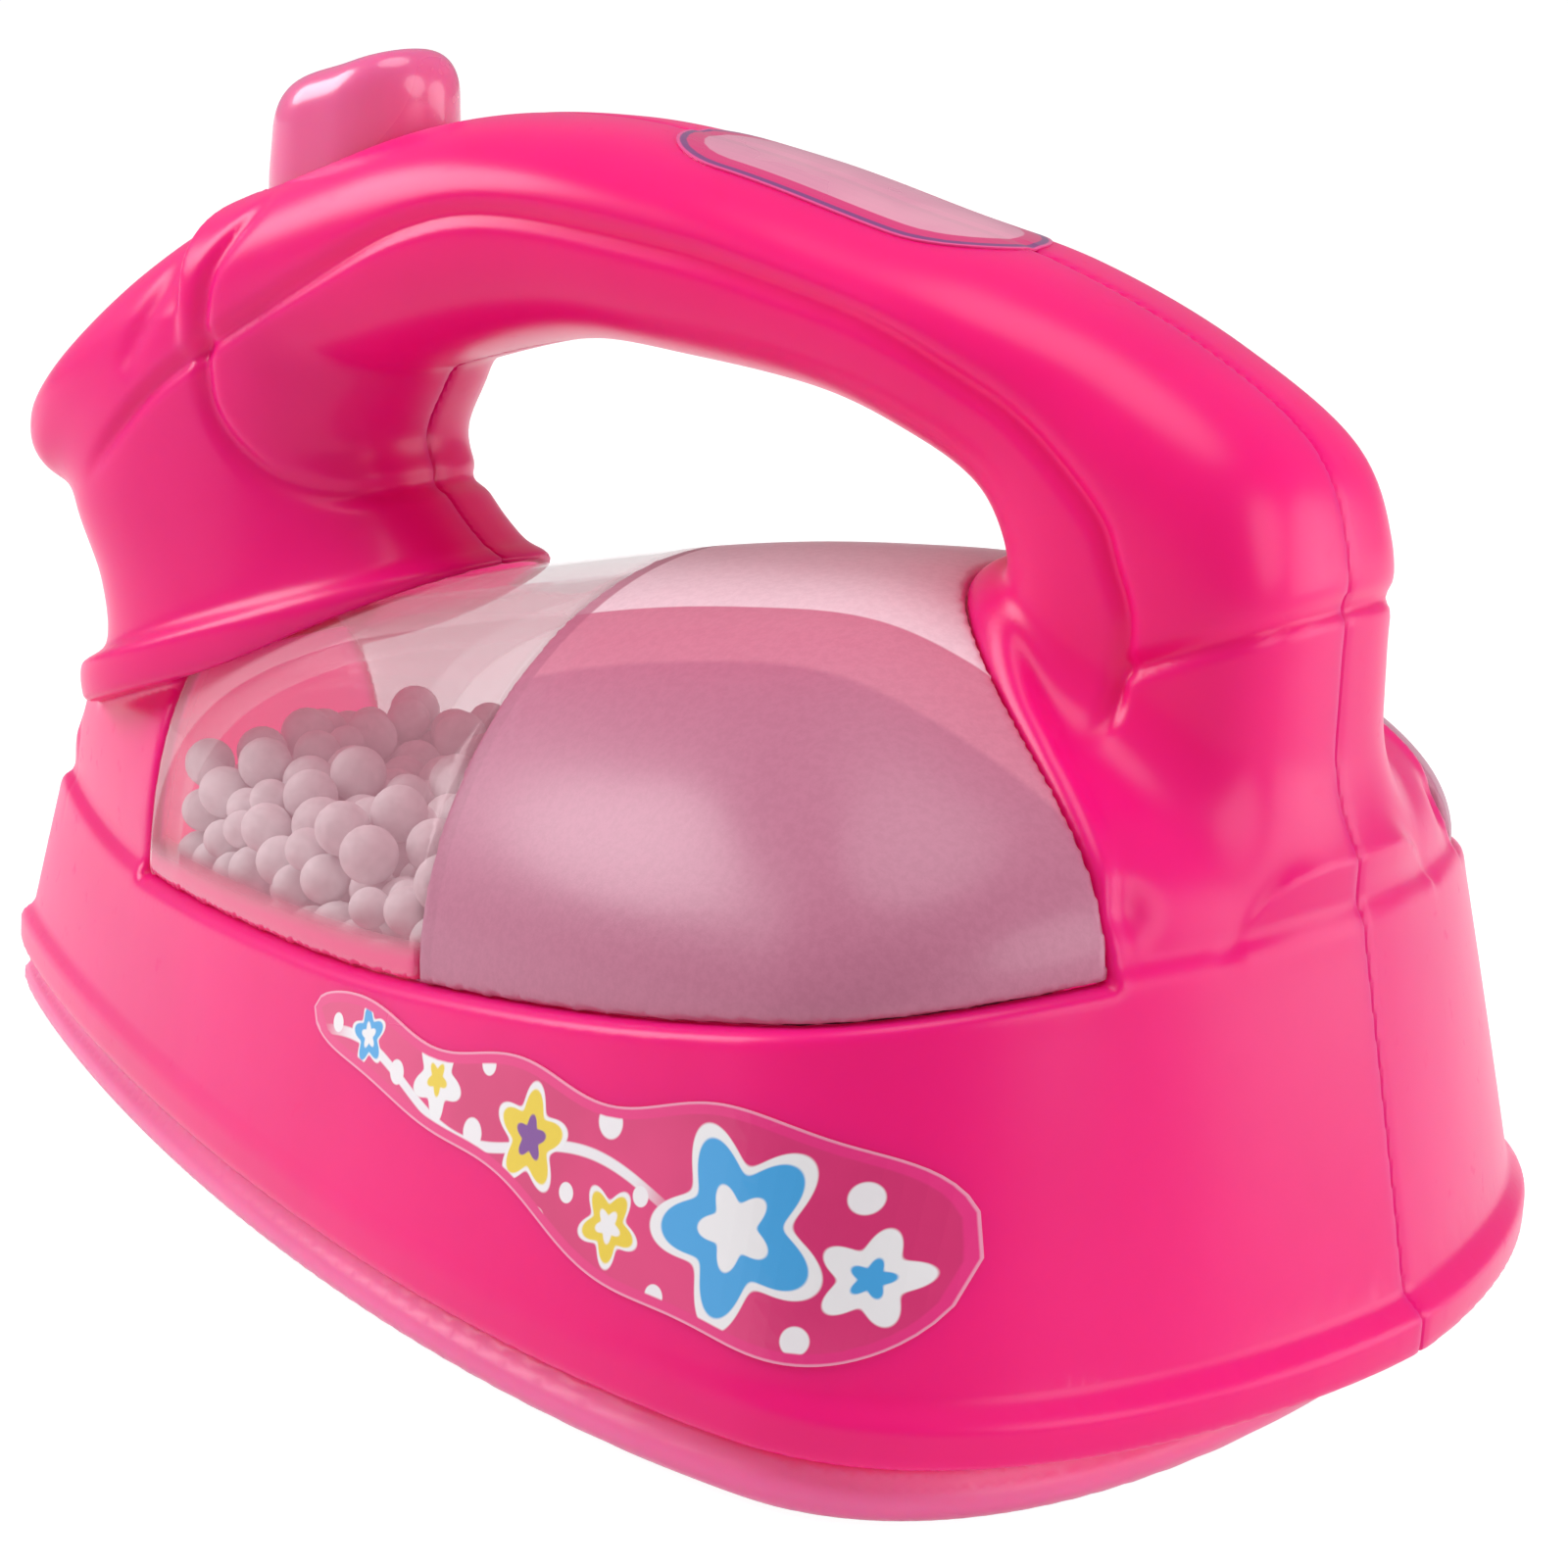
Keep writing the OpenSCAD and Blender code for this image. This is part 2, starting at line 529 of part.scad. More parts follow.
module battery_door() color(pale_pink) difference() {
    translate([0, 0, door_z]) linear_extrude(door_t) door_plan(0);
    translate([door_screw_x, 0, -1]) cylinder(d = screw_d + 0.4, h = 10);
    translate([door_screw_x, 0, door_z - 1]) cylinder(d = head_d + 0.4, h = 1 + head_h / 2);
}

// Screws: a pan head with a cross slot and a plain shank
module screw(l) difference() {
    union() {
        cylinder(d = screw_d, h = l);
        translate([0, 0, -head_h]) cylinder(d = head_d, h = head_h);
    }
    for (a = [0, 90]) rotate(a) translate([0, 0, -head_h]) cube([head_d * 0.6, 0.7, 1.2], center = true);
}
steel = [0.75, 0.76, 0.78];
module door_screw() color(steel) translate([door_screw_x, 0, door_z + head_h / 2 - 0.05]) difference() {
    union() {
        cylinder(d = screw_d, h = 6);
        translate([0, 0, -head_h / 2]) cylinder(d = head_d, h = head_h / 2);
    }
    for (a = [0, 90]) rotate(a) translate([0, 0, -head_h / 2]) cube([head_d * 0.6, 0.7, 0.8], center = true);
}
module housing_screws() color(steel) for (p = parting_bosses)
    translate([p.x, well_y + 0.05, p.y]) rotate([90, 0, 0]) screw(well_y + pilot_l - 0.6);
module sole_screws() color(steel) for (p = sole_bosses, s = [-1, 1])
    translate([p.x, s * p.y, head_h + 0.35]) screw(boss_z + boss_h - head_h - 4);

// Battery cells, contact springs and plates
cell_z = sole_t + cell_d / 2 + 0.2;
cell_y = cell_d / 2 + 0.5;
plate_t = 0.4;
cell_x = tub_x + plate_t + 2 * fit;
stud_l = 1.2;
stud_d = 5.4;
module battery_cells() for (s = [-1, 1]) translate([s < 0 ? cell_x + stud_l : cell_x + tub_in_l - cell_l
        - plate_t - stud_l - 3 * fit - plate_t, s * cell_y, cell_z]) rotate([0, 90, 0]) {
    color([0.15, 0.35, 0.6]) cylinder(d = cell_d, h = cell_l);
    color(steel) translate([0, 0, s < 0 ? -stud_l : cell_l]) cylinder(d = stud_d, h = stud_l);
}
coil_wire = 0.6;
function coil_ring(r, turns, h, rw, u, sides) = let (a = 360 * turns * u, d = [cos(a), sin(a), 0],
        c = [r * cos(a), r * sin(a), h * u])
    [for (i = [0 : sides - 1]) let (b = 360 * i / sides) c + rw * (cos(b) * d + sin(b) * [0, 0, 1])];
function coil(r, turns, h, rw, per, sides) = [for (i = [0 : turns * per])
    coil_ring(r, turns, h, rw, i / (turns * per), sides)];
module contact_springs() color(steel) for (s = [-1, 1])
    translate([s < 0 ? tub_x + tub_in_l - plate_t - fit : tub_x + plate_t + fit, s * cell_y, cell_z])
        rotate([0, s * 90, 0]) translate([0, 0, coil_wire / 2])
            tube(coil(3.4, 3, spring_room - stud_l - plate_t - 7 * fit - coil_wire, coil_wire / 2, 12, 6));
module contact_plates() color(steel) for (s = [-1, 1])
    translate([s < 0 ? tub_x + fit / 2 : tub_x + tub_in_l - plate_t - fit / 2, -tub_in_w / 2 + fit, sole_t + 1])
        cube([plate_t, tub_in_w - 2 * fit, cell_d - 1]);

// Button with its stem flange, plunger, spring, switch and board
flange_z = handle_z - 15.8;
flange_t = 1.5;
cap_z = button_z - 8.4;
module switch_button() color(pale_pink) translate([button_x, 0, 0]) {
    translate([0, 0, flange_z]) linear_extrude(flange_t) stadium(button_l, button_w + 3);
    translate([0, 0, flange_z]) linear_extrude(cap_z - flange_z) stadium(button_l, button_w);
    hull() {
        translate([0, 0, cap_z - 0.2]) linear_extrude(0.2) stadium(button_l, button_w);
        for (s = [-1, 1]) translate([-button_l / 2 + 4, s * (button_w / 2 - 3.6), button_z - 7.6]) sphere(3.2, $fn = 18);
        translate([button_l / 2 - 6, 0, button_z - 8.6]) sphere(5, $fn = 18);
    }
    hull() for (s = [-1, 1], z = [cap_z, button_z - 4.6])
        translate([button_l / 2 - 5.2, s * (button_w / 2 - 5.4), z]) sphere(4.6, $fn = 18);
}
plunger_d = 3;
switch_floor = 0.4;
switch_room = flange_z - board_z - board_t - button_travel - 0.3;
plunger_l = switch_room - switch_floor;
module switch_plunger() color([0.2, 0.2, 0.22]) translate([button_x, 0, flange_z - plunger_l])
    cylinder(d = plunger_d, h = plunger_l);
module switch_body() color([0.15, 0.15, 0.17]) translate([button_x, 0, board_z + board_t]) difference() {
    translate([-3.6, -3.6, 0]) cube([7.2, 7.2, switch_room]);
    translate([0, 0, switch_floor]) cylinder(d = plunger_d + 0.2, h = big);
}
module switch_board() color([0.25, 0.5, 0.3]) translate([board_x - board_l / 2, -board_w / 2, board_z])
    cube([board_l, board_w, board_t]);
spring_r = 6;
module button_spring() color(steel) translate([button_x, 0, board_z + board_t + spring_wire / 2 + 0.1])
    tube(coil(spring_r, spring_turns, flange_z - board_z - board_t - spring_wire - 0.2, spring_wire / 2, 14, 6));

// Motor, shaft and paddle
shaft_z = motor_z + 4;
module motor_can() color(steel) translate([motor_x, 0, motor_z]) difference() {
    cylinder(d = motor_d, h = motor_h);
    translate([0, 0, shaft_z - motor_z - 0.3]) cylinder(d = shaft_d + 2 * shaft_fit, h = big);
}
module motor_end_cap() color([0.9, 0.9, 0.86]) translate([motor_x, 0, motor_z - 2.2]) difference() {
    cylinder(d = motor_d - 0.4, h = 2.2 - fit);
    for (s = [-1, 1]) translate([0, s * motor_d / 4, -1]) cube([3, 0.8, 4], center = true);
}
module motor_shaft() color(steel) translate([motor_x, 0, shaft_z])
    cylinder(d = shaft_d, h = paddle_z + paddle_h - shaft_z - 0.4);
hub_d = 6;
blade_t = 1.4;
module bead_paddle() color(hot_pink) translate([motor_x, 0, paddle_z]) difference() {
    union() {
        cylinder(d = hub_d, h = paddle_h);
        for (a = [0, 120, 240]) rotate(a) translate([0, -blade_t / 2, 0]) cube([paddle_r, blade_t, paddle_h]);
    }
    translate([0, 0, -1]) cylinder(d = shaft_d + 2 * shaft_fit, h = paddle_h + 0.6);
}

// Lamp on its board over the battery tub
lamp_x = tub_x + tub_in_l / 2 + 1;
lamp_z = tub_top + tub_wall + fit;
lamp_d = 5;
lamp_h = 8;
module lamp_board() color([0.25, 0.5, 0.3]) translate([lamp_x - 14, -10, lamp_z]) cube([28, 20, board_t]);
module lamp() color([1, 0.95, 0.85]) translate([lamp_x, 0, lamp_z + board_t + fit]) {
    cylinder(d = lamp_d + 0.8, h = 1);
    cylinder(d = lamp_d, h = lamp_h - lamp_d / 2);
    translate([0, 0, lamp_h - lamp_d / 2]) sphere(d = lamp_d);
}

// Wires: a round tube swept through points chosen by hand
function unit(v) = v / norm(v);
function wire_ring(route, side, t) = let (c = spline(route, t), d = unit(spline(route, min(len(route) - 1, t + 0.02))
        - spline(route, max(0, t - 0.02))), s = unit(cross(d, side)), u = cross(s, d))
    [for (i = [0 : 7]) c + wire_d / 2 * (cos(45 * i) * s + sin(45 * i) * u)];
module wire(route, side, per) tube([for (i = [0 : per * (len(route) - 1)]) wire_ring(route, side, i / per)]);
tub_rear = tub_x + tub_in_l + tub_wall + wire_d / 2 + fit;
tub_side = tub_in_w / 2 + tub_wall + wire_d;
wire_y = 6;
red_route = [[tub_rear, wire_y, tub_top - 4], [tub_rear, wire_y, tub_top + 4], [leg_x + 4, wire_y, tub_top + 14],
    [leg_x - 2, wire_y, handle_z - 38], [leg_x - 6, wire_y, handle_z - 26], [leg_x - 16, wire_y, handle_z - 17],
    [leg_x - 32, wire_y, handle_z - 9], [neck_x + 46, wire_y, handle_z - 5.5], [neck_x + 30, wire_y, handle_z - 5.5],
    [neck_x + 21, wire_y, handle_z - 9], [neck_x + 17.4, wire_y, handle_z - 15],
    [board_x + board_l / 2 - 0.8, wire_y, board_z + board_t + 1]];
black_route = [[tub_rear, -wire_y, tub_top - 4], [tub_rear, -wire_y, tub_top + 3], [tub_rear - 4, -wire_y, tub_top + 6],
    [lamp_x + 19, -wire_y, lamp_z + board_t + 2.6], [lamp_x + 13, -wire_y, lamp_z + board_t + 1]];
motor_route = [[lamp_x - 9, 7, lamp_z + board_t + 1], [lamp_x - 10, 13, lamp_z + board_t + 1.6],
    [lamp_x - 12, tub_side + 1, tub_top + 1], [lamp_x - 20, tub_side + 1, tub_top - 6], [tub_x - 2, tub_side, tub_top - 9],
    [tub_x - 9, 14, motor_z + 2.4], [motor_x + 6, motor_d / 2 + wire_d, motor_z + 2],
    [motor_x, motor_d / 2 + wire_d - 0.4, motor_z + 2]];
module red_wire() color([0.8, 0.1, 0.1]) wire(red_route, [0, 1, 0], 4);
module black_wire() color([0.1, 0.1, 0.1]) wire(black_route, [0, 1, 0], 4);
module motor_wire() color([0.9, 0.8, 0.2]) wire(motor_route, [1, 0, 1], 4);

// Stickers: thin films that follow the band's wall and the handle's top
function wall_point(t, z, out) = let (p = plan(t), f = (z - foot_z) / (rim(p.x) - foot_z),
        q = inset(p, foot_dx + lean_x * f - out, foot_dy + lean_y * f - out))
    [q.x, -q.y, z];
film_gap = 0.06;
film_from = 0.66;
film_to = 1.27;
film_low = foot_z + 0.6;
film_cols = 18;
film_rows = 6;
film_shape = [[0, 0.42], [0.2, 0.56], [0.4, 0.72], [0.7, 0.98], [0.85, 1], [1, 0.9]];
function film_z(u, v) = let (h = side_film_h * curve_at(film_shape, u))
    film_low + h / 2 * (1 + v * sqrt(1 - pow(abs(2 * u - 1), 5))) + (1 - u) * 1.6;
function film_sheet(out) = [for (i = [0 : film_cols], j = [0 : film_rows])
    let (u = 0.02 + 0.96 * i / film_cols) wall_point(lerp(film_from, film_to, u), film_z(u, 2 * j / film_rows - 1), out)];
function grip_sheet(out) = [for (i = [0 : film_cols], j = [0 : film_rows])
    let (u = 0.02 + 0.96 * i / film_cols, s = spline(handle_stations, lerp(2.45, 4.87, u)),
        w = grip_film_w / 2 * pow(1 - pow(abs(2 * u - 1), 6), 0.5) * (2 * j / film_rows - 1),
        a = asin(spow(w / s[4], 1 / ring_e)))
    ring_at(shrunk(s, -out), a)];
module film_skin(front, back) {
    c = film_cols;
    r = film_rows + 1;
    n = len(front);
    function id(i, j) = i * r + j;
    faces = [for (i = [0 : c - 1], j = [0 : r - 2]) let (p = id(i, j), q = id(i + 1, j), s = id(i, j + 1), t = id(i + 1, j + 1))
        each [[p, s, q], [q, s, t], [n + p, n + q, n + s], [n + q, n + t, n + s]]];
    rows = [for (i = [0 : c - 1]) let (p = id(i, 0), q = id(i + 1, 0), s = id(i, r - 1), t = id(i + 1, r - 1))
        each [[p, q, n + p], [q, n + q, n + p], [s, n + s, t], [t, n + s, n + t]]];
    ends = [for (j = [0 : r - 2]) let (p = id(0, j), q = id(0, j + 1), s = id(c, j), t = id(c, j + 1))
        each [[p, n + p, q], [q, n + p, n + q], [s, t, n + s], [t, n + t, n + s]]];
    polyhedron(points = concat(front, back), faces = concat(faces, rows, ends));
}
module side_film() film_skin(film_sheet(film_gap + film), film_sheet(film_gap));
module left_sticker() color([0.8, 0.1, 0.45]) side_film();
module right_sticker() color([0.8, 0.1, 0.45]) mirror([0, 1, 0]) side_film();
module handle_sticker() color([0.95, 0.6, 0.75]) film_skin(grip_sheet(film_gap + film), grip_sheet(film_gap));

left_housing();
right_housing();
front_window();
lamp_cover();
bead_tray();
foam_beads();
sole_plate();
battery_door();
door_screw();
battery_cells();
contact_springs();
contact_plates();
switch_button();
switch_plunger();
button_spring();
switch_body();
switch_board();
motor_can();
motor_end_cap();
motor_shaft();
bead_paddle();
lamp_board();
lamp();
housing_screws();
sole_screws();
red_wire();
black_wire();
motor_wire();
left_sticker();
right_sticker();
handle_sticker();
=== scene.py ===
"""Looks of the toy iron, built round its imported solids.

The moulded case is carved as a distance field on a fine grid and skinned, so that its lofted forms
run into each other the way a mould cutter would blend them. Sizes in the field are millimetres.
"""

import math
from types import SimpleNamespace

import bmesh
import bpy
import numpy as np
from mathutils import Matrix, Vector
from mathutils.geometry import delaunay_2d_cdt


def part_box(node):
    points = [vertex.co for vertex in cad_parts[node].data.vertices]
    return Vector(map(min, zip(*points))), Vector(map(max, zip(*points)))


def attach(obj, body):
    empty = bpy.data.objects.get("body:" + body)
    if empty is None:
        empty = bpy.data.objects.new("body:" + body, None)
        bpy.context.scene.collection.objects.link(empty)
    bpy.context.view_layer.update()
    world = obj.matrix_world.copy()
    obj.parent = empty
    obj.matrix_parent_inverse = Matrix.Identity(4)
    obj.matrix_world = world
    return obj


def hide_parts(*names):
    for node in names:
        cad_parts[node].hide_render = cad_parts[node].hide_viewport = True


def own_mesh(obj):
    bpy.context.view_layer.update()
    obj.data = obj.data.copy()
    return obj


bl_info = {
    "name": "Toy iron",
    "version": (1, 0, 0),
    "blender": (4, 5, 0),
    "location": "View3D > Sidebar > Iron",
    "description": "Builds the looks of a toy iron with a bead window on its packed solids",
    "category": "Object",
}

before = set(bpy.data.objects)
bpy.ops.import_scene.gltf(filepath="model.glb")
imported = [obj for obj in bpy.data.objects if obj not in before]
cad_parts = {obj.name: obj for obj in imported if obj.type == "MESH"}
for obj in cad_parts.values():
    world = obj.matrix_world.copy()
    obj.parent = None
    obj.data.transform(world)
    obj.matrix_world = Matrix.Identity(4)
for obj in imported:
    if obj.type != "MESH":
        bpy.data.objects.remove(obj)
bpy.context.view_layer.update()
MM = 0.001

# Sizes shared with the solids, in millimetres
HALF_L = 75.5
HALF_W = 49.7
BAND_Z = 4.4
FLANGE_TOP = 8.0
FOOT_Z = 8.8
FOOT_IN = (1.8, 0.4)
LEAN = (4.2, 4.4)
DOME_IN = (7.0, 5.8)
DOME_L = HALF_L - DOME_IN[0]
DOME_H = 29.0
RIM_LOW_Z = 20.6
RIM_HEEL_Z = 38.5
WALL = 2.0
PANE = 1.6
FIT = 0.2
WINDOW_X = -43.0
PARTITION_X = 6.2
PARTITION_T = 2.0
PARTITION_Z = 22.4
DECK_X = 32.5
DECK_SWEEP = 0.04
NECK_X = -41.0
LEG_X = 50.0
HANDLE_Z = 89.8
GRIP_UNDER = 72.2
GRIP_HALF = 14.5
NECK_HALF = 14.0
RING_POWER = 2 / 0.82
BUTTON_X = -34.5
BUTTON_L = 17.5
BUTTON_W = 14.0
BUTTON_FIT = 0.4
BUTTON_HOLE_Z = 77.3
SCREW_WELLS = [(-51.0, 63.8), (-12.0, 78.8), (52.0, 66.8), (-54.5, 12.0)]
SCREW_HEAD_R = 2.6
SLEEVE_R = 3.8
SHANK_R = 1.5
WELL_SEAT = 4
SOLE_SCREWS = [(-44.5, 9.0), (-44.5, -9.0), (61.5, 23.0), (61.5, -23.0)]
SOLE_T = 3.2
TUB = (-2.0, 53.4, -15.5, 15.5)
TUB_WALL = 1.5
TUB_TOP = 18.7
DOOR_SEAT = (-4.2, 62.6, -17.7, 17.7, -3, 2.5)
MOTOR_X = -22.0
MOTOR_SEAT_R = 10.2
MOTOR_BORE_R = 8.7
TRAY_FLOOR = 17.6
TRAY_STEP = 22.2
TRAY_STEP_X = -5.3
PADDLE_R = 10.8
PADDLE_TOP = 27.6
# Change of the band's lean at the nose and towards the heel, and the height above which no band is
LEAN_NOSE = -0.6
LEAN_HEEL = 2.9
BAND_TOP_Z = 46
# The dome's foot draws in by this much towards the heel, between two places
DOME_HEEL_IN = 2.2
DOME_HEEL_X = (36, 66)
# Least half width, before and behind the middle, and least height of the dome's sections
DOME_LEAST_W = (2, 14)
DOME_LEAST_H = 1.7
# How full a section of the dome is: 2 over this is its power, the second number added behind the nose
DOME_FULL = (0.87, 0.18)
# How much faster the deck edge's offset along x grows than the distance to it
DECK_SLOPE = 1.4
# How far the opening keeps clear of the dome's foot, and the radius of its edge
OPENING_LIP = 1.4
OPENING_EDGE = 1.4
# Gap of each half to the parting plane, and the radius of the edge there
SEAM_GAP = 0.02
SEAM_EDGE = 0.15
# Lean of the lamp cover's front, half width of the painted pale sheen over the crest and of the painted
# lighter zone below it
PARTITION_LEAN = 0.13
CREST_SHEEN_Y = 16.5
LIT_ZONE_Y = 24.0
# Radius of the sole's edge, its grid step, and the rib that closes the gap under the band
SOLE_EDGE = 2.2
SOLE_STEP = 0.8
SOLE_RIB_IN = 1.1
SOLE_RIB_TOP = 4.15
# Where the beads start, how often they are pushed apart, and how often and how far they drop
BEAD_START = ((-37, 1), (-24, 24), (24, 60))
BEAD_TURNS = 260
BEAD_DROPS = 200
BEAD_DROP = 0.36
# Point spacing and height of the printed films, and the floor's height
FILM_STEP = 1.3
FILM_LIFT = 0.16
FLOOR_Z = -0.2
# Colours
STEEL = (0.62, 0.63, 0.65)
BLACK = (0.0, 0.0, 0.0)
WHITE = (1.0, 1.0, 1.0)
# Painted pink glow of the case's inner walls, in place of light coming through them
PAINTED_WALL_GLOW = (0.78, 0.02, 0.27)
# Painted pale sheen over the crest, where it faces the top light
CLEAR_CREST_SHEEN = (0.9, 0.75, 0.78)
FROSTED_CREST_SHEEN = (0.95, 0.76, 0.83)
# Painted lighter zone over the upper part of the lamp cover
FROSTED_LIT_ZONE = (0.68, 0.235, 0.345)
PRINT_WHITE = (0.86, 0.84, 0.86)
PRINT_BLUE = (0.05, 0.36, 0.75)
PRINT_YELLOW = (0.82, 0.6, 0.03)
PRINT_PURPLE = (0.2, 0.05, 0.3)

NOSE_CURVE = [(-HALF_L, 0), (-HALF_L, 2.5), (-3, HALF_W), (47, HALF_W)]
HEEL_CURVE = [(47, HALF_W), (71, HALF_W), (HALF_L, 8), (HALF_L, 0)]
RIM_SWEEP = [(-1, 0.16), (-0.8, 0.035), (-0.62, 0), (-0.44, 0.055), (-0.24, 0.14), (-0.02, 0.245),
             (0.2, 0.39), (0.41, 0.54), (0.62, 0.71), (0.82, 0.88), (1, 1)]
CREST_RISE = [(-1, 0.06), (-0.95, 0.39), (-0.84, 0.655), (-0.62, 0.81), (-0.3, 0.92), (0.04, 1.02),
              (0.3, 1.02), (0.5, 0.95), (0.7, 0.69), (0.89, 0.355), (1, 0.06)]


def smooth_step(low, high, value):
    t = np.clip((value - low) / (high - low), 0, 1)
    return t * t * (3 - 2 * t)


def bezier(points, t):
    p = np.array(points, float)
    t = np.asarray(t, float)[:, None]
    return (1 - t) ** 3 * p[0] + 3 * (1 - t) ** 2 * t * p[1] + 3 * (1 - t) * t * t * p[2] + t ** 3 * p[3]


def through(stations, t):
    """A smooth curve through rows of numbers, at places t counted in rows."""
    p = np.array(stations, float)
    i = np.minimum(len(p) - 2, np.floor(t).astype(int))
    f = (t - i)[:, None]
    a = p[np.maximum(0, i - 1)]
    b = p[i]
    c = p[i + 1]
    d = p[np.minimum(len(p) - 1, i + 2)]
    return b + f * ((c - a) / 2 + f * (a - 2.5 * b + 2 * c - d / 2 + f * (1.5 * (b - c) + (d - a) / 2)))


def on_curve(table, x):
    """The value of a table of (place, value) pairs at x, eased through every pair."""
    p = np.array(table, float)
    before = np.maximum(np.arange(len(p)) - 1, 0)
    after = np.minimum(np.arange(len(p)) + 1, len(p) - 1)
    slope = (p[after, 1] - p[before, 1]) / (p[after, 0] - p[before, 0])
    i = np.clip(np.searchsorted(p[:, 0], x, "right") - 1, 0, len(p) - 2)
    w = p[i + 1, 0] - p[i, 0]
    t = np.clip((x - p[i, 0]) / w, 0, 1)
    return ((2 * t ** 3 - 3 * t * t + 1) * p[i, 1] + (t ** 3 - 2 * t * t + t) * w * slope[i]
            + (3 * t * t - 2 * t ** 3) * p[i + 1, 1] + (t ** 3 - t * t) * w * slope[i + 1])


def plan_outline(nose, heel):
    """Half of an outline in plan, from the tip of the nose round to the heel."""
    t = np.linspace(0, 1, 400)
    return np.vstack([bezier(nose, t), bezier(heel, t)[1:]])


OUTLINE = plan_outline(NOSE_CURVE, HEEL_CURVE)


def half_width(x):
    """Half of the band's width in plan."""
    return np.interp(x, OUTLINE[:, 0], OUTLINE[:, 1])


def rim(x):
    """Height of the band's upper edge."""
    return RIM_LOW_Z + (RIM_HEEL_Z - RIM_LOW_Z) * on_curve(RIM_SWEEP, np.asarray(x) / HALF_L)


def rise(x):
    """Height of the dome over the rim."""
    return DOME_H * on_curve(CREST_RISE, np.asarray(x) / DOME_L)


def deck_edge(y):
    """Front of the deck, behind the lamp cover."""
    return DECK_X + DECK_SWEEP * y * y


def partition_at(z):
    """Front of the lamp cover, which leans towards the nose."""
    return PARTITION_X - PARTITION_LEAN * (z - 30)


def counted_from(top, under, half, rows):
    """Loft stations (x, z, other x, z, half width), from rows counted from two points and a half width."""
    return [tuple(a + b for a, b in zip((*top, *under, half), row)) for row in rows]


LIP_FRONT = float(rim(NECK_X - 21) + 10)
LIP_REAR = float(rim(NECK_X + 25) + rise(NECK_X + 25) - 3.2)
NECK = counted_from((NECK_X, LIP_FRONT), (NECK_X, LIP_REAR), NECK_HALF, [
    (-20, 0, 25, 0, 1.5), (-20.4, 3.5, 24.5, 3.5, 1.5), (-17.8, 6, 21.5, 5, 0),
]) + counted_from((NECK_X, GRIP_UNDER), (NECK_X, LIP_REAR), NECK_HALF, [
    (-18.7, -29, 17.5, 8.5, -0.5),
]) + counted_from((NECK_X, GRIP_UNDER), (NECK_X, GRIP_UNDER), NECK_HALF, [
    (-22.4, -21.5, 14.9, -11.5, -0.5), (-21.4, -15, 17.4, -5, -0.5), (-12, -6, 18, 3, -1),
])
SPOUT = counted_from((NECK_X, HANDLE_Z), (NECK_X, HANDLE_Z), GRIP_HALF, [
    (8, -6.5, 6, -32, -2), (-2, -10.2, -4, -34, -1.5), (-12, -16.1, -15, -38, -2.5),
    (-21, -23.2, -23, -39, -4.5), (-27, -29, -27, -37.5, -7.5), (-29.5, -32, -29, -35, -11.5),
])
HANDLE = counted_from((NECK_X, HANDLE_Z), (NECK_X, GRIP_UNDER), GRIP_HALF, [
    (-4, -10.4, 0, -12, -0.5), (18, -2, 21, -4, 0), (34, 0, 35, -0.5, 0), (50, -1.6, 48, -0.5, 0),
]) + counted_from((LEG_X, HANDLE_Z), (LEG_X, GRIP_UNDER), GRIP_HALF, [
    (-26, -4.6, -30, -1.5, -0.3), (-14, -7, -21.6, -3.8, -0.5), (-1, -11.7, -15.6, -6.8, -1),
    (9.4, -18, -12.4, -11.4, -1), (13.1, -25.6, -11, -16, -1), (13.5, -34, -11, -21, -1),
    (13.7, -44, -11.2, -29, -0.5), (13.7, -55, -11.2, -40, -0.5),
])


def blend_min(a, b, radius):
    """Union of two fields with a fillet of that radius."""
    h = np.maximum(radius - np.abs(a - b), 0) / radius
    return np.minimum(a, b) - h * h * radius / 4


def blend_max(a, b, radius):
    """Intersection of two fields with a rounded edge of that radius."""
    return -blend_min(-a, -b, radius)


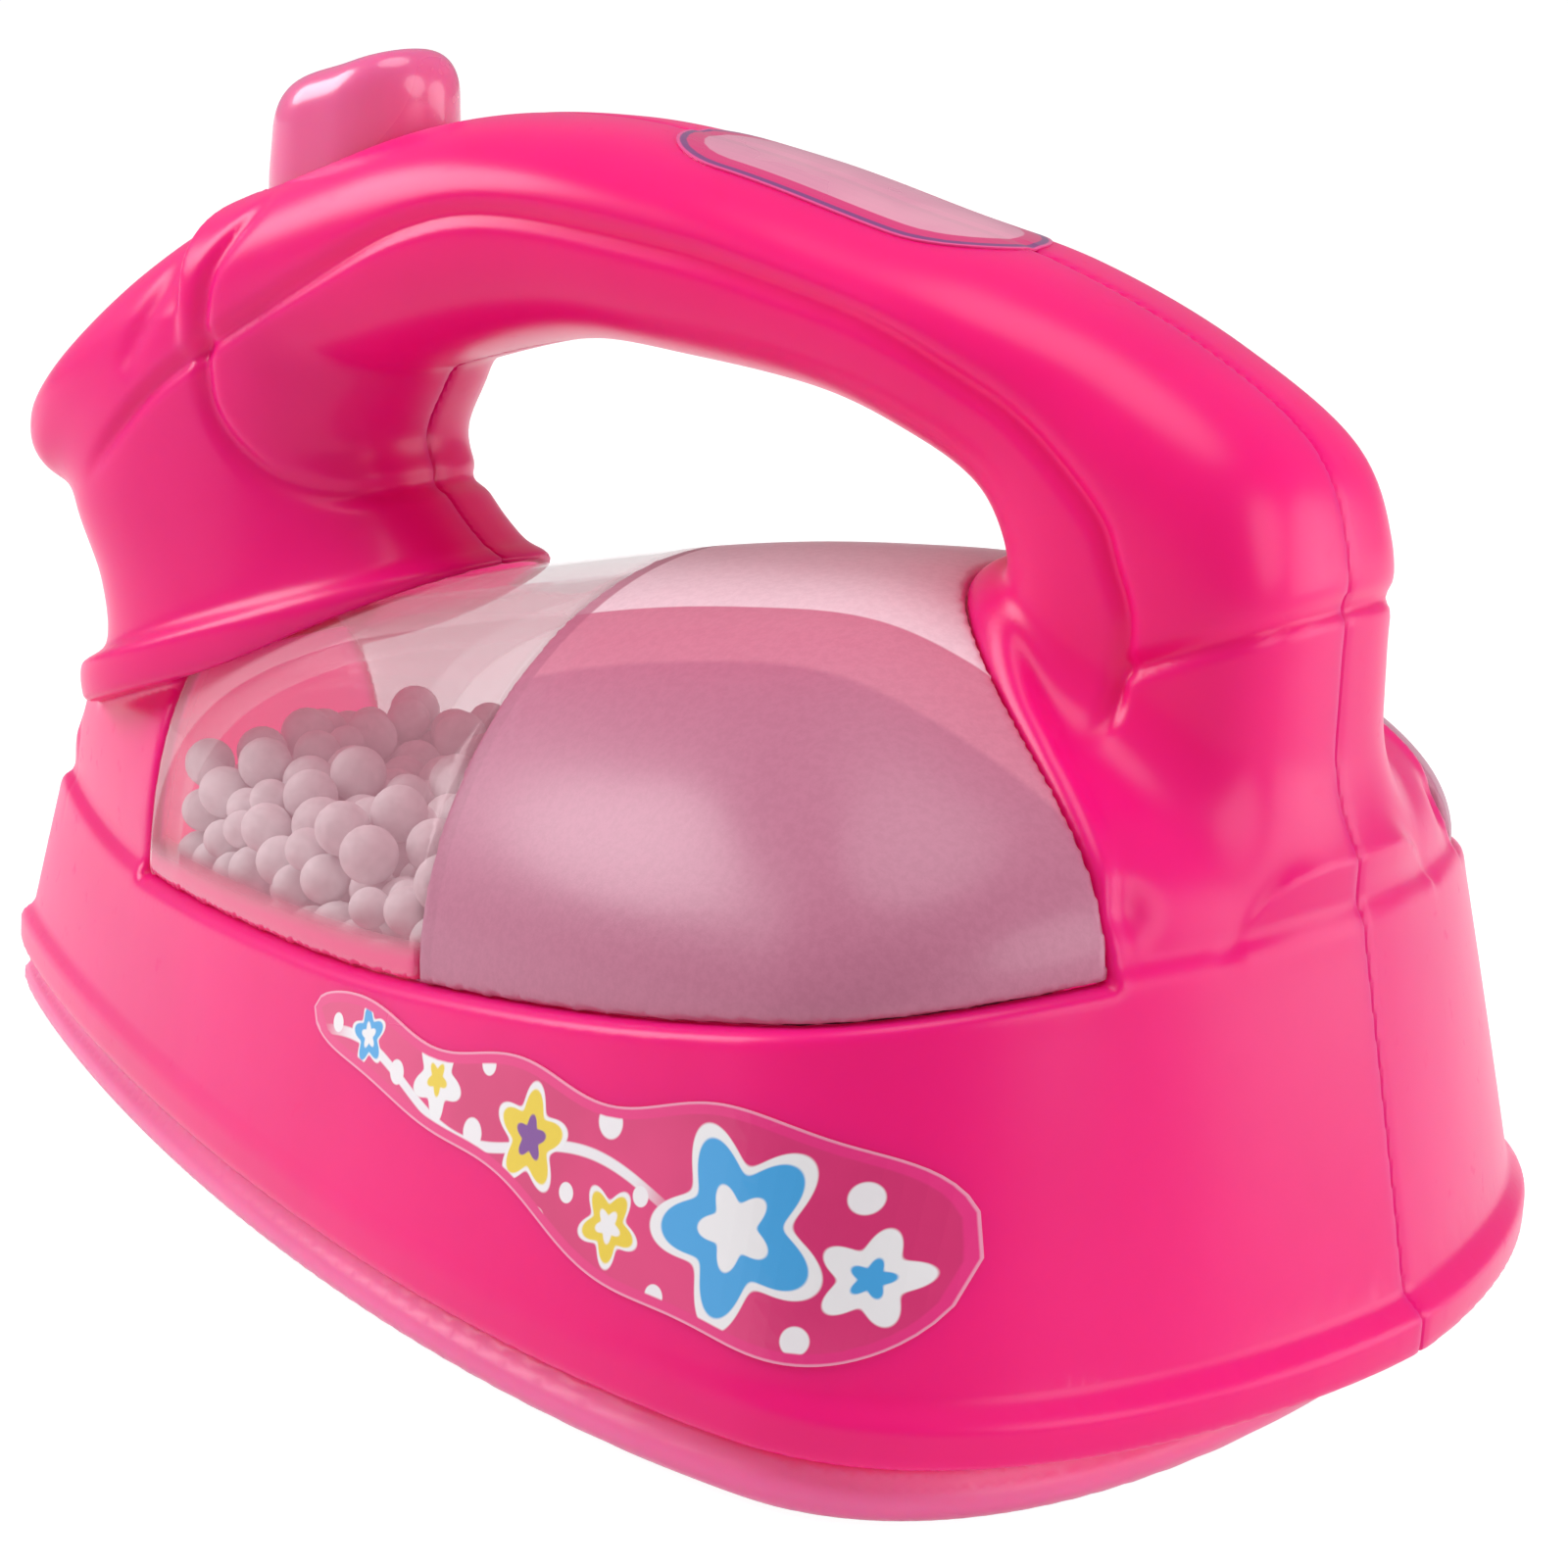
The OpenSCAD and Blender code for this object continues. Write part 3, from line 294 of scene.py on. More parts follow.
class Field:
    """A box of grid points on which distance fields are worked out, in millimetres."""

    def __init__(self, low, high, step):
        self.step = step
        self.low = np.array(low, float)
        counts = [int(math.ceil((b - a) / step)) + 1 for a, b in zip(low, high)]
        self.axes = [(a + step * np.arange(n)).astype(np.float32) for a, n in zip(low, counts)]
        self.x = self.axes[0][:, None, None]
        self.y = self.axes[1][None, :, None]
        self.z = self.axes[2][None, None, :]

    def levelled(self, values, limit=9.0):
        """A field scaled so that it grows by one millimetre for each millimetre near its surface."""
        gradient = np.gradient(values, self.step)
        size = np.sqrt(sum(g * g for g in gradient))
        return np.clip(values / np.maximum(size, 1e-4), -limit, limit).astype(np.float32)

    def sample(self, values, points):
        """Values at free points, by straight interpolation."""
        p = (np.asarray(points, float) - self.low) / self.step
        top = np.array(values.shape) - 2
        i = np.clip(np.floor(p).astype(int), 0, top)
        f = np.clip(p - i, 0, 1)
        total = 0
        for dx in (0, 1):
            for dy in (0, 1):
                for dz in (0, 1):
                    weight = np.abs(1 - dx - f[:, 0]) * np.abs(1 - dy - f[:, 1]) * np.abs(1 - dz - f[:, 2])
                    total = total + weight * values[i[:, 0] + dx, i[:, 1] + dy, i[:, 2] + dz]
        return total

    def slopes(self, values, points):
        """The direction in which a field grows at free points."""
        found = []
        for axis in range(3):
            shift = np.zeros(3)
            shift[axis] = self.step * 0.75
            found.append(self.sample(values, points + shift) - self.sample(values, points - shift))
        slope = np.stack(found, 1)
        return slope / np.maximum(np.linalg.norm(slope, axis=1), 1e-9)[:, None]

    def skin(self, values):
        """Points and four-sided faces of the surface where the field is zero."""
        inside = values < 0
        shape = np.array(values.shape) - 1
        corners = [(dx, dy, dz) for dx in (0, 1) for dy in (0, 1) for dz in (0, 1)]

        def cut(block, corner):
            return block[tuple(slice(c, c + n) for c, n in zip(corner, shape))]

        count = sum(cut(inside, c).astype(np.int8) for c in corners)
        mixed = (count > 0) & (count < 8)
        cells = np.argwhere(mixed)
        number = np.full(shape, -1, np.int64)
        number[mixed] = np.arange(len(cells))
        total = np.zeros((len(cells), 3))
        hits = np.zeros(len(cells))
        for start in corners:
            for axis in range(3):
                if start[axis]:
                    continue
                end = tuple(c + (k == axis) for k, c in enumerate(start))
                a = values[tuple((cells + start).T)]
                b = values[tuple((cells + end).T)]
                crossed = (a < 0) != (b < 0)
                t = np.where(crossed, a / np.where(crossed, a - b, 1), 0)
                place = np.array(start, float) + t[:, None] * np.eye(3)[axis]
                total += place * crossed[:, None]
                hits += crossed
        points = (cells + total / hits[:, None]) * self.step + self.low
        faces = []
        for axis in range(3):
            u, v = (axis + 1) % 3, (axis + 2) % 3
            first = inside[tuple(slice(0, -1) if k == axis else slice(1, -1) for k in range(3))]
            second = inside[tuple(slice(1, None) if k == axis else slice(1, -1) for k in range(3))]
            spots = np.argwhere(first != second)
            outward = first[tuple(spots.T)]
            spots[:, u] += 1
            spots[:, v] += 1
            du, dv = np.eye(3, dtype=int)[u], np.eye(3, dtype=int)[v]
            ring = [number[tuple((spots + o).T)] for o in (-du - dv, -dv, 0 * du, -du)]
            quads = np.stack(ring, 1)
            quads[~outward] = quads[~outward][:, ::-1]
            faces.append(quads)
        for _ in range(2):
            miss = np.clip(self.sample(values, points), -0.4 * self.step, 0.4 * self.step)
            points -= miss[:, None] * self.slopes(values, points) * 0.8
        return points, np.vstack(faces)


class PlanDistance:
    """Distance to the outline of the band, looked up on a flat grid."""

    def __init__(self, outline, step=0.5):
        self.step = step
        self.low = -84.0
        xs = np.arange(self.low, 84.1, step)
        ys = np.arange(0, 60.1, step)
        near = outline[::3]
        near = np.vstack([near, outline[-1:]])
        way = np.diff(near, axis=0)
        length = np.maximum((way ** 2).sum(1), 1e-9)
        rows = []
        for x in xs:
            dx = x - near[:-1, 0][None, :]
            dy = ys[:, None] - near[:-1, 1][None, :]
            t = np.clip((dx * way[:, 0] + dy * way[:, 1]) / length, 0, 1)
            d = np.hypot(dx - t * way[:, 0], dy - t * way[:, 1]).min(1)
            edge = np.interp(x, outline[:, 0], outline[:, 1], left=-1, right=-1)
            rows.append(np.where(ys < edge, -d, d))
        self.table = np.array(rows, np.float32)

    def __call__(self, x, y):
        u = np.clip((x - self.low) / self.step, 0, self.table.shape[0] - 1.001)
        v = np.clip(np.abs(y) / self.step, 0, self.table.shape[1] - 1.001)
        i = u.astype(np.int32)
        j = v.astype(np.int32)
        f = u - i
        g = v - j
        t = self.table
        low = (1 - g) * t[i, j] + g * t[i, j + 1]
        high = (1 - g) * t[i + 1, j] + g * t[i + 1, j + 1]
        return (1 - f) * low + f * high


def dome_field(grid, plan):
    """The dome that window, cover, deck and nose block share."""
    x = grid.axes[0].astype(float)
    inner = (HALF_L - DOME_IN[0] - DOME_HEEL_IN * smooth_step(*DOME_HEEL_X, x)) / HALF_L
    least = np.where(x > 0, DOME_LEAST_W[1], DOME_LEAST_W[0])
    width = np.maximum(half_width(x / inner) * (HALF_W - DOME_IN[1]) / HALF_W, least)
    power = 2 / (DOME_FULL[0] + DOME_FULL[1] * np.clip((x / DOME_L + 0.29) / 0.35, 0, 1))
    across = (np.abs(grid.axes[1])[None, :] / width[:, None]) ** power[:, None]
    height = np.maximum(rise(x), DOME_LEAST_H)
    up = np.maximum((grid.axes[2][None, :] - rim(x)[:, None]) / height[:, None], 0) ** power[:, None]
    total = across[:, :, None] + up[:, None, :]
    value = total ** (1 / power)[:, None, None] - 1
    along, aside, upward = np.gradient(value.astype(np.float32), grid.step)
    section = aside * aside + upward * upward + 1e-8
    along = along / np.maximum(total ** (1 / power)[:, None, None], 0.2)
    field = value / np.sqrt(section + np.minimum(along * along, 9 * section))
    beside = np.abs(grid.axes[1])[None, :] * HALF_W / (HALF_W - DOME_IN[1])
    outline = plan(*np.broadcast_arrays((x / inner)[:, None], beside)) * 0.9
    return np.maximum(field, outline[:, :, None].astype(np.float32))


def band_field(grid, plan):
    """The leaning wall below the rim, open downwards, with its flange at nose and heel."""
    low = grid.axes[2].astype(float)
    x = grid.axes[0].astype(float)
    top = rim(x)
    up = np.clip((low[None, :] - FOOT_Z) / (top[:, None] - FOOT_Z), 0, 1)
    foot = smooth_step(FLANGE_TOP - 0.7, FOOT_Z + 0.5, low)[None, :]
    lean = LEAN[0] + LEAN_NOSE + LEAN_HEEL * smooth_step(-20, 50, x)[:, None]
    scale_x = 1 - (FOOT_IN[0] * foot + lean * up) / HALF_L
    scale_y = 1 - (FOOT_IN[1] * foot + LEAN[1] * up) / HALF_W
    keep = int(np.searchsorted(low, BAND_TOP_Z))
    px = (x[:, None] / scale_x)[:, None, :keep]
    py = np.abs(grid.axes[1])[None, :, None] / scale_y[:, None, :keep]
    wall = plan(np.broadcast_to(px, py.shape), py)
    cap = grid.z[:, :, :keep] - top[:, None, None]
    field = np.full((len(x), len(grid.axes[1]), len(low)), 9.0, np.float32)
    field[:, :, :keep] = blend_max(wall, cap * 0.97, 1.1)
    return field


def flat_map(stations, xs, zs):
    """For each point of a side view, the place along a loft and the place across it."""
    count = len(stations) - 1
    t = np.linspace(0, count, 48 * count + 1)
    s = through(stations, t)
    cx, cz = (s[:, 0] + s[:, 2]) / 2, (s[:, 1] + s[:, 3]) / 2
    hx, hz = (s[:, 0] - s[:, 2]) / 2, (s[:, 1] - s[:, 3]) / 2
    half = np.hypot(hx, hz)
    place = np.zeros((len(xs), len(zs)))
    across = np.zeros_like(place)
    rows = np.arange(len(zs))
    for n, x in enumerate(xs):
        dx = x - cx[None, :]
        dz = zs[:, None] - cz[None, :]
        k = (dx * hx + dz * hz) / half ** 2
        side = (dx * hz - dz * hx) / half
        cost = side ** 2 + (np.maximum(np.abs(k) - 1, 0) * half) ** 2
        i = cost.argmin(1)
        before = np.maximum(i - 1, 0)
        after = np.minimum(i + 1, len(t) - 1)
        slope = (side[rows, after] - side[rows, before]) / (t[after] - t[before])
        slope = np.where(np.abs(slope) > 1e-6, slope, 1e-6)
        best = np.clip(t[i] - np.clip(side[rows, i] / slope, -0.06, 0.06), 0, count)
        place[n] = best
        across[n] = k[rows, i] + (best - t[i]) * (k[rows, after] - k[rows, before]) / (t[after] - t[before])
    return place, across


def past_end(stations, grid):
    """Distance in the side view past the plane of a loft's first station."""
    edges = np.array(stations)[:2, :4].reshape(2, 2, 2)
    middle = edges.mean(1)
    along = edges[0, 0] - edges[0, 1]
    out = np.array([along[1], -along[0]]) / np.linalg.norm(along)
    if out @ (middle[1] - middle[0]) > 0:
        out = -out
    return ((grid.x - middle[0, 0]) * out[0] + (grid.z - middle[0, 1]) * out[1])[:, 0, :]


def loft_field(grid, stations, round_end=1.0, boxy=0.0):
    """A loft of rounded sections that is symmetric about the parting plane, squarer towards its end."""
    xs = grid.axes[0].astype(float)
    zs = grid.axes[2].astype(float)
    place, across = flat_map(stations, xs, zs)
    width = through(stations, place.ravel())[:, 4].reshape(place.shape)
    power = (RING_POWER + boxy * smooth_step(6, 8.5, place))[:, None, :]
    section = np.abs(across)[:, None, :] ** power
    spread = (np.abs(grid.axes[1])[None, :, None] / width[:, None, :]) ** power
    value = (section + spread) ** (1 / power) - 1
    field = grid.levelled(value.astype(np.float32))
    first = np.where(place < 1, past_end(stations, grid), -9)
    last = np.where(place > len(stations) - 2, past_end(stations[::-1], grid), -9)
    end = np.maximum(first, last)[:, None, :].astype(np.float32)
    edges = np.array(stations)[:, :4].reshape(-1, 2)
    low, high = edges.min(0) - 2, edges.max(0) + 2
    beyond = np.maximum(np.maximum(low[0] - grid.x, grid.x - high[0]),
                        np.maximum(low[1] - grid.z, grid.z - high[1]))
    return np.maximum(blend_max(field, end, round_end), beyond)


def moulded_line(grid, points, width, ends):
    """1 on a smooth line of the side view, falling to 0 beside it and fading towards its two ends."""
    p = through(points, np.linspace(0, len(points) - 1, 8 * (len(points) - 1) + 1))
    x = grid.axes[0][:, None].astype(float)
    z = grid.axes[2][None, :].astype(float)
    nearest = np.full((x.size, z.size), 1e9)
    share = np.zeros_like(nearest)
    for n, (start, end) in enumerate(zip(p[:-1], p[1:])):
        way = end - start
        t = np.clip(((x - start[0]) * way[0] + (z - start[1]) * way[1]) / (way @ way), 0, 1)
        far = (x - start[0] - t * way[0]) ** 2 + (z - start[1] - t * way[1]) ** 2
        share = np.where(far < nearest, (n + t) / (len(p) - 1), share)
        nearest = np.minimum(far, nearest)
    fade = smooth_step(-0.01, ends, np.minimum(share, 1 - share))
    return (np.exp(-nearest / width ** 2) * fade)[:, None, :]


# Lines moulded into the case, as points (x, z) of its side view
HANDLE_GROOVE = [(-55.4, 54.1), (-47.3, 62.4), (-40.3, 67.4), (-29, 74.2), (-17.8, 80.2), (-7.4, 82.3),
                 (9.2, 81.3), (19, 79.8), (28.4, 77.8), (35.8, 75), (42.3, 71.8), (48.8, 66.4),
                 (50.8, 62.6), (52.2, 59.2), (52.2, 54.8), (52, 50)]
ROOT_GROOVE = [(-34.9, 80.8), (-39.6, 74.1), (-40.2, 67.4), (-39.2, 61.8), (-34.6, 57.5), (-29, 56),
               (-25, 56.6), (-22.5, 57.8), (-20.5, 60)]
HANDLE_RIDGE = [(-21.8, 82), (-6, 84.6), (9, 84), (23.6, 80.7), (37.4, 77.4), (45, 75.5)]
SPOUT_CREASE = [(-44.8, 74.4), (-48, 69.4), (-50.9, 63.7)]
LEG_GROOVE = [(52.4, 55.2), (56, 56.9), (60, 58.7), (64, 60.5), (68, 62.3)]
# Each line's depth (a ridge's is below 0), its points, its width and the share that fades at its ends
LINES = [
    (0.75, HANDLE_GROOVE, 0.75, 0.06),
    (0.75, ROOT_GROOVE, 0.9, 0.1),
    (-0.4, HANDLE_RIDGE, 2.2, 0.35),
    (0.6, LEG_GROOVE, 0.7, 0.03),
    (0.4, SPOUT_CREASE, 1.2, 0.3),
]
DIMPLE = (60.0, -24.0, 40.5)
DIMPLE_DEPTH = 0.9
DIMPLE_SPREAD = 4.5
SEAM_DENT = 0.16
SEAM_WIDTH = 0.4
DECK_LIP = 1.3
# Fillets between the forms of the case
RIM_FILLET = 1.8
NECK_FILLET = 2.6
SPOUT_END = 3.0


def case_fields(step):
    """The near half of the case: its grid, and the fields of its dome, outside form and shell."""
    grid = Field((-77.2, -51.4, 2.8), (77.2, 1.4, 91.6), step)
    plan = PlanDistance(OUTLINE)
    dome = dome_field(grid, plan)
    band = band_field(grid, plan)
    form = blend_min(band, dome, RIM_FILLET)
    lobe = np.exp(-((grid.x - deck_edge(grid.y) - 2.4) / 2.2) ** 2) * smooth_step(34, 4, np.abs(grid.y))
    form = form - (DECK_LIP * lobe * smooth_step(34, 44, grid.z)).astype(np.float32)
    neck = loft_field(grid, NECK)
    spout = loft_field(grid, SPOUT, SPOUT_END)
    handle = loft_field(grid, HANDLE, boxy=0.9)
    upper = blend_min(blend_min(neck, spout, NECK_FILLET), handle, 1.2 + 2.4 * smooth_step(-10, 20, grid.x))
    form = blend_min(form, upper, 0.9 + 3.6 * smooth_step(12, 30, grid.x))
    for depth, points, width, ends in LINES:
        form = form + depth * moulded_line(grid, points, width, ends)
    spot = (grid.x - DIMPLE[0]) ** 2 + (grid.y - DIMPLE[1]) ** 2 + (grid.z - DIMPLE[2]) ** 2
    form = form + DIMPLE_DEPTH * np.exp(-spot / DIMPLE_SPREAD)
    form = form + SEAM_DENT * np.exp(-(grid.y / SEAM_WIDTH) ** 2)
    form = form.astype(np.float32)
    shell = blend_max(form, -(form + WALL), 0.3)
    return SimpleNamespace(grid=grid, dome=dome, form=form, shell=shell)


def open_shell(grid, dome, shell):
    """The shell cut flat below, opened for window and lamp cover, and drilled for the button."""
    shell = blend_max(shell, BAND_Z - grid.z, 0.9)
    over = grid.z - rim(grid.axes[0].astype(float))[:, None, None]
    space = np.maximum(dome - FIT - OPENING_LIP * smooth_step(3.4, 1.8, over), WINDOW_X - grid.x)
    space = np.maximum(space, (grid.x - deck_edge(grid.y)) / DECK_SLOPE)
    space = np.maximum(space, -over)
    shell = blend_max(shell, -space, OPENING_EDGE)
    half = (BUTTON_L - BUTTON_W) / 2
    beside = np.maximum(np.abs(grid.x - BUTTON_X) - half, 0)
    hole = np.hypot(beside, grid.y) - BUTTON_W / 2 - BUTTON_FIT
    hole = np.maximum(hole, BUTTON_HOLE_Z - grid.z)
    shell = blend_max(shell, -hole, 0.4)
    return shell.astype(np.float32)


def screw_wells(grid, form, shell):
    """The shell with sleeves and wells for the screws that join the halves."""
    for x, z in SCREW_WELLS:
        rod = np.hypot(grid.x - x, grid.z - z)
        sleeve = blend_max(rod - SLEEVE_R, form, 0.3)
        shell = np.minimum(shell, sleeve)
        well = np.maximum(rod - SCREW_HEAD_R, grid.y + WELL_SEAT)
        shell = blend_max(shell, -well, 0.3)
        shell = np.maximum(shell, SHANK_R - rod)
    return shell.astype(np.float32)


def evaluated_mesh(obj):
    """A new mesh with an object's modifiers applied."""
    return bpy.data.meshes.new_from_object(obj.evaluated_get(bpy.context.evaluated_depsgraph_get()))


def places(obj):
    """An object's points in millimetres."""
    co = np.zeros(len(obj.data.vertices) * 3)
    obj.data.vertices.foreach_get("co", co)
    return co.reshape(-1, 3) / MM


def mark(mesh, name, values):
    """Keep one number for each point of a mesh, for its material or its nodes."""
    made = mesh.attributes.new(name, "FLOAT", "POINT")
    made.data.foreach_set("value", values.astype(np.float32))


def mesh_object(name, points, faces, thin=None):
    """A new object from millimetre points, thinned to a share of its faces if asked."""
    mesh = bpy.data.meshes.new(name)
    mesh.from_pydata((np.asarray(points) * MM).tolist(), [], [list(face) for face in faces])
    obj = bpy.data.objects.new(name, mesh)
    bpy.context.scene.collection.objects.link(obj)
    if thin:
        change = obj.modifiers.new("thin", "DECIMATE")
        change.ratio = thin
        plain = evaluated_mesh(obj)
        obj.modifiers.remove(change)
        obj.data = plain
        bpy.data.meshes.remove(mesh)
        plain.name = name
    return obj


def field_object(name, grid, values, thin=None, mirrored=False, shading=None):
    """The skin of a field as an object whose shading follows the field itself, or another one."""
    points, faces = grid.skin(values)
    obj = mesh_object(name, points, faces, thin=thin)
    mesh = obj.data
    co = places(obj)
    normals = grid.slopes(values if shading is None else shading, co)
    if mirrored:
        co[:, 1] *= -1
        normals[:, 1] *= -1
        mesh.flip_normals()
    mesh.vertices.foreach_set("co", (co * MM).ravel())
    mesh.polygons.foreach_set("use_smooth", np.ones(len(mesh.polygons), bool))
    mesh.update()
    mesh.normals_split_custom_set_from_vertices(normals.tolist())
    return obj


class Value:
    """A socket of a shader or node tree whose arithmetic adds Math nodes."""

    def __init__(self, tree, socket):
        self.tree = tree
        self.socket = socket

    def math(self, operation, other, swap=False):
        pair = (other, self) if swap else (self, other)
        return self.tree.node("ShaderNodeMath", {"operation": operation}, {0: pair[0], 1: pair[1]})

    def __add__(self, other):
        return self.math("ADD", other)

    __radd__ = __add__

    def __sub__(self, other):
        return self.math("SUBTRACT", other)

    def __rsub__(self, other):
        return self.math("SUBTRACT", other, True)

    def __mul__(self, other):
        return self.math("MULTIPLY", other)

    def __truediv__(self, other):
        return self.math("DIVIDE", other)

    def __abs__(self):
        return self.math("ABSOLUTE", 0.0)

    def fade(self, low, high):
        """0 below low, 1 above high, eased between."""
        return self.tree.node("ShaderNodeMapRange", {"interpolation_type": "SMOOTHSTEP"},
                              {0: self, 1: low, 2: high, 3: 0.0, 4: 1.0})


class Finish:
    """A node tree that is filled by one method."""

    def __init__(self, tree):
        self.tree = tree
        tree.nodes.clear()

    def node(self, kind, settings=None, inputs=None, output=0):
        made = self.tree.nodes.new(kind)
        for key, value in (settings or {}).items():
            setattr(made, key, value)
        for key, value in (inputs or {}).items():
            if isinstance(value, Value):
                self.tree.links.new(value.socket, made.inputs[key])
            else:
                made.inputs[key].default_value = value
        return Value(self, made.outputs[output]) if len(made.outputs) else None

    def mix(self, factor, a, b):
        return self.node("ShaderNodeMix", {"data_type": "RGBA"}, {0: factor, 6: a, 7: b}, 2)

    def noise(self, scale, detail=3.0, rough=0.5):
        return self.node("ShaderNodeTexNoise", {}, {"Vector": self.place(), "Scale": scale, "Detail": detail,
                                                    "Roughness": rough})

    def place(self):
        return self.node("ShaderNodeTexCoord", {}, {}, "Object")

    def axis(self, number):
        """One coordinate, in millimetres."""
        return self.node("ShaderNodeSeparateXYZ", {}, {0: self.place()}, number) / MM

    def marked(self, name):
        """The number that a mesh keeps under that name."""
        return self.node("ShaderNodeAttribute", {"attribute_name": name}, {}, "Fac")

    def ray(self, kind):
        return self.node("ShaderNodeLightPath", {}, {}, kind)

    def bump(self, height, strength, distance):
        return self.node("ShaderNodeBump", {}, {"Height": height, "Strength": strength, "Distance": distance})

    def surface(self, inputs):
        shader = self.node("ShaderNodeBsdfPrincipled", {}, inputs)
        self.node("ShaderNodeOutputMaterial", {}, {"Surface": shader})


def new_finish(name):
    """A new material and its empty tree."""
    material = bpy.data.materials.new(name)
    material.use_nodes = True
    return material, Finish(material.node_tree)


def rgba(colour, alpha=1.0):
    return (*tuple(colour)[:3], alpha)


def deeper(colour, share):
    return tuple(c * share for c in tuple(colour)[:3])


def moulded(name, colour, roughness=0.28, coat=0.1, coat_blur=0.3, lift=0.06, level=0.22, glow=0.0):
    """Translucent moulded plastic with faint flow clouding, hairline scratches and changes of gloss.

    Its inner side, which meshes mark as inner, gets a painted pink glow by emission in place of light that
    comes through the wall.
    """
    material, f = new_finish(name)
    cloud = f.noise(38.0, 4.0, 0.55)
    wide = f.noise(9.0, 2.0, 0.5)
    tone = (cloud * 0.5 + wide * 0.5).fade(0.35, 0.68)
    light = [min(1, c * (1 + lift) + lift * 0.03) for c in colour[:3]]
    shade = f.mix(tone, rgba(deeper(colour, 1 - lift)), rgba(light))
    scuff = f.noise(420.0, 2.0, 0.7).fade(0.62, 0.78)
    gloss = roughness + wide.fade(0.3, 0.8) * 0.07 + scuff * 0.09
    ripple = f.noise(70.0, 2.0, 0.5) + scuff * 0.02
    # Painted glow: the marked inner walls give off pink light of their own, in place of light through the
    # wall
    painted_glow = f.mix(f.marked("inner"), rgba(BLACK), rgba(PAINTED_WALL_GLOW))
    f.surface({"Base Color": shade, "Roughness": gloss, "Normal": f.bump(ripple, 0.06, 0.0015),
               "IOR": 1.49, "Specular IOR Level": level, "Coat Weight": coat, "Coat Roughness": coat_blur,
               "Emission Color": painted_glow, "Emission Strength": glow,
               "Subsurface Weight": 0.4, "Subsurface Radius": (1.0, 0.08, 0.3), "Subsurface Scale": 0.007})
    return material


def plain_metal(name, colour, roughness=0.3):
    """Plated metal with fine rolling marks."""
    material, f = new_finish(name)
    marks = f.noise(900.0, 3.0, 0.6)
    stain = f.noise(60.0, 3.0, 0.5)
    shade = f.mix(stain.fade(0.35, 0.7), rgba(deeper(colour, 0.82)), rgba(colour))
    f.surface({"Base Color": shade, "Metallic": 1.0, "Roughness": roughness + marks.fade(0.4, 0.7) * 0.12,
               "Normal": f.bump(marks, 0.08, 0.0004)})
    return material


def matt(name, colour, roughness=0.55, scale=200.0):
    """A dull moulded or coated surface with a fine grain."""
    material, f = new_finish(name)
    grain = f.noise(scale, 4.0, 0.6)
    shade = f.mix(grain.fade(0.3, 0.7), rgba(deeper(colour, 0.85)), rgba(colour))
    f.surface({"Base Color": shade, "Roughness": roughness + grain * 0.1,
               "Normal": f.bump(grain, 0.1, 0.0006)})
    return material


def colour_prop(name, description, default):
    return bpy.props.FloatVectorProperty(name=name, description=description, default=default, subtype="COLOR")


def length_prop(name, description, default):
    return bpy.props.FloatProperty(name=name, description=description, default=default, unit="LENGTH")


def angle_prop(name, description, degrees):
    return bpy.props.FloatProperty(name=name, description=description, default=math.radians(degrees),
                                   subtype="ANGLE")


class IronCase(bpy.types.PropertyGroup):
    """Case of the iron."""

    step: length_prop("Grid step", "Fineness of the grid that the case is carved on", 0.0005)
    thin: bpy.props.FloatProperty(name="Kept faces", description="Share of the skin's faces that is kept",
                                  default=0.6, subtype="FACTOR")
    pink: colour_prop("Case colour", "Colour of the moulded case", (0.87, 0.004, 0.188))
    pale: colour_prop("Button colour", "Colour of the push button", (0.79, 0.115, 0.31))
    sole: colour_prop("Sole colour", "Colour of the sole plate", (0.92, 0.15, 0.36))


class IronWindow(bpy.types.PropertyGroup):
    """Window, lamp cover and beads."""

    clear: colour_prop("Window tint", "Tint of the clear window", (0.74, 0.33, 0.41))
    frosted: colour_prop("Cover colour", "Colour of the frosted lamp cover", (0.52, 0.165, 0.27))
    beads: bpy.props.IntProperty(name="Beads", description="Number of foam beads", default=420)
    bead_min: length_prop("Smallest bead", "Diameter of the smallest bead", 0.0032)
    bead_max: length_prop("Largest bead", "Diameter of the largest bead", 0.005)
    seed: bpy.props.IntProperty(name="Seed", description="Start of the shuffled beads", default=7)


class IronStage(bpy.types.PropertyGroup):
    """Camera, lights and floor."""

    distance: length_prop("Camera distance", "From the camera to its target", 0.32)
    azimuth: angle_prop("Azimuth", "Turn of the camera round the iron", 34.962)
    elevation: angle_prop("Elevation", "Height of the camera over the floor", 13.738)
    roll: angle_prop("Roll", "Tilt of the camera", 3.516)
    lens: bpy.props.FloatProperty(name="Lens", description="Focal length in millimetres on a 36 mm sensor",
                                  default=88.94)


KEPT = {}


def carved():
    """The case's fields, carved once."""
    if "case" not in KEPT:
        KEPT["case"] = case_fields(bpy.context.scene.iron_case.step / MM)
    return KEPT["case"]


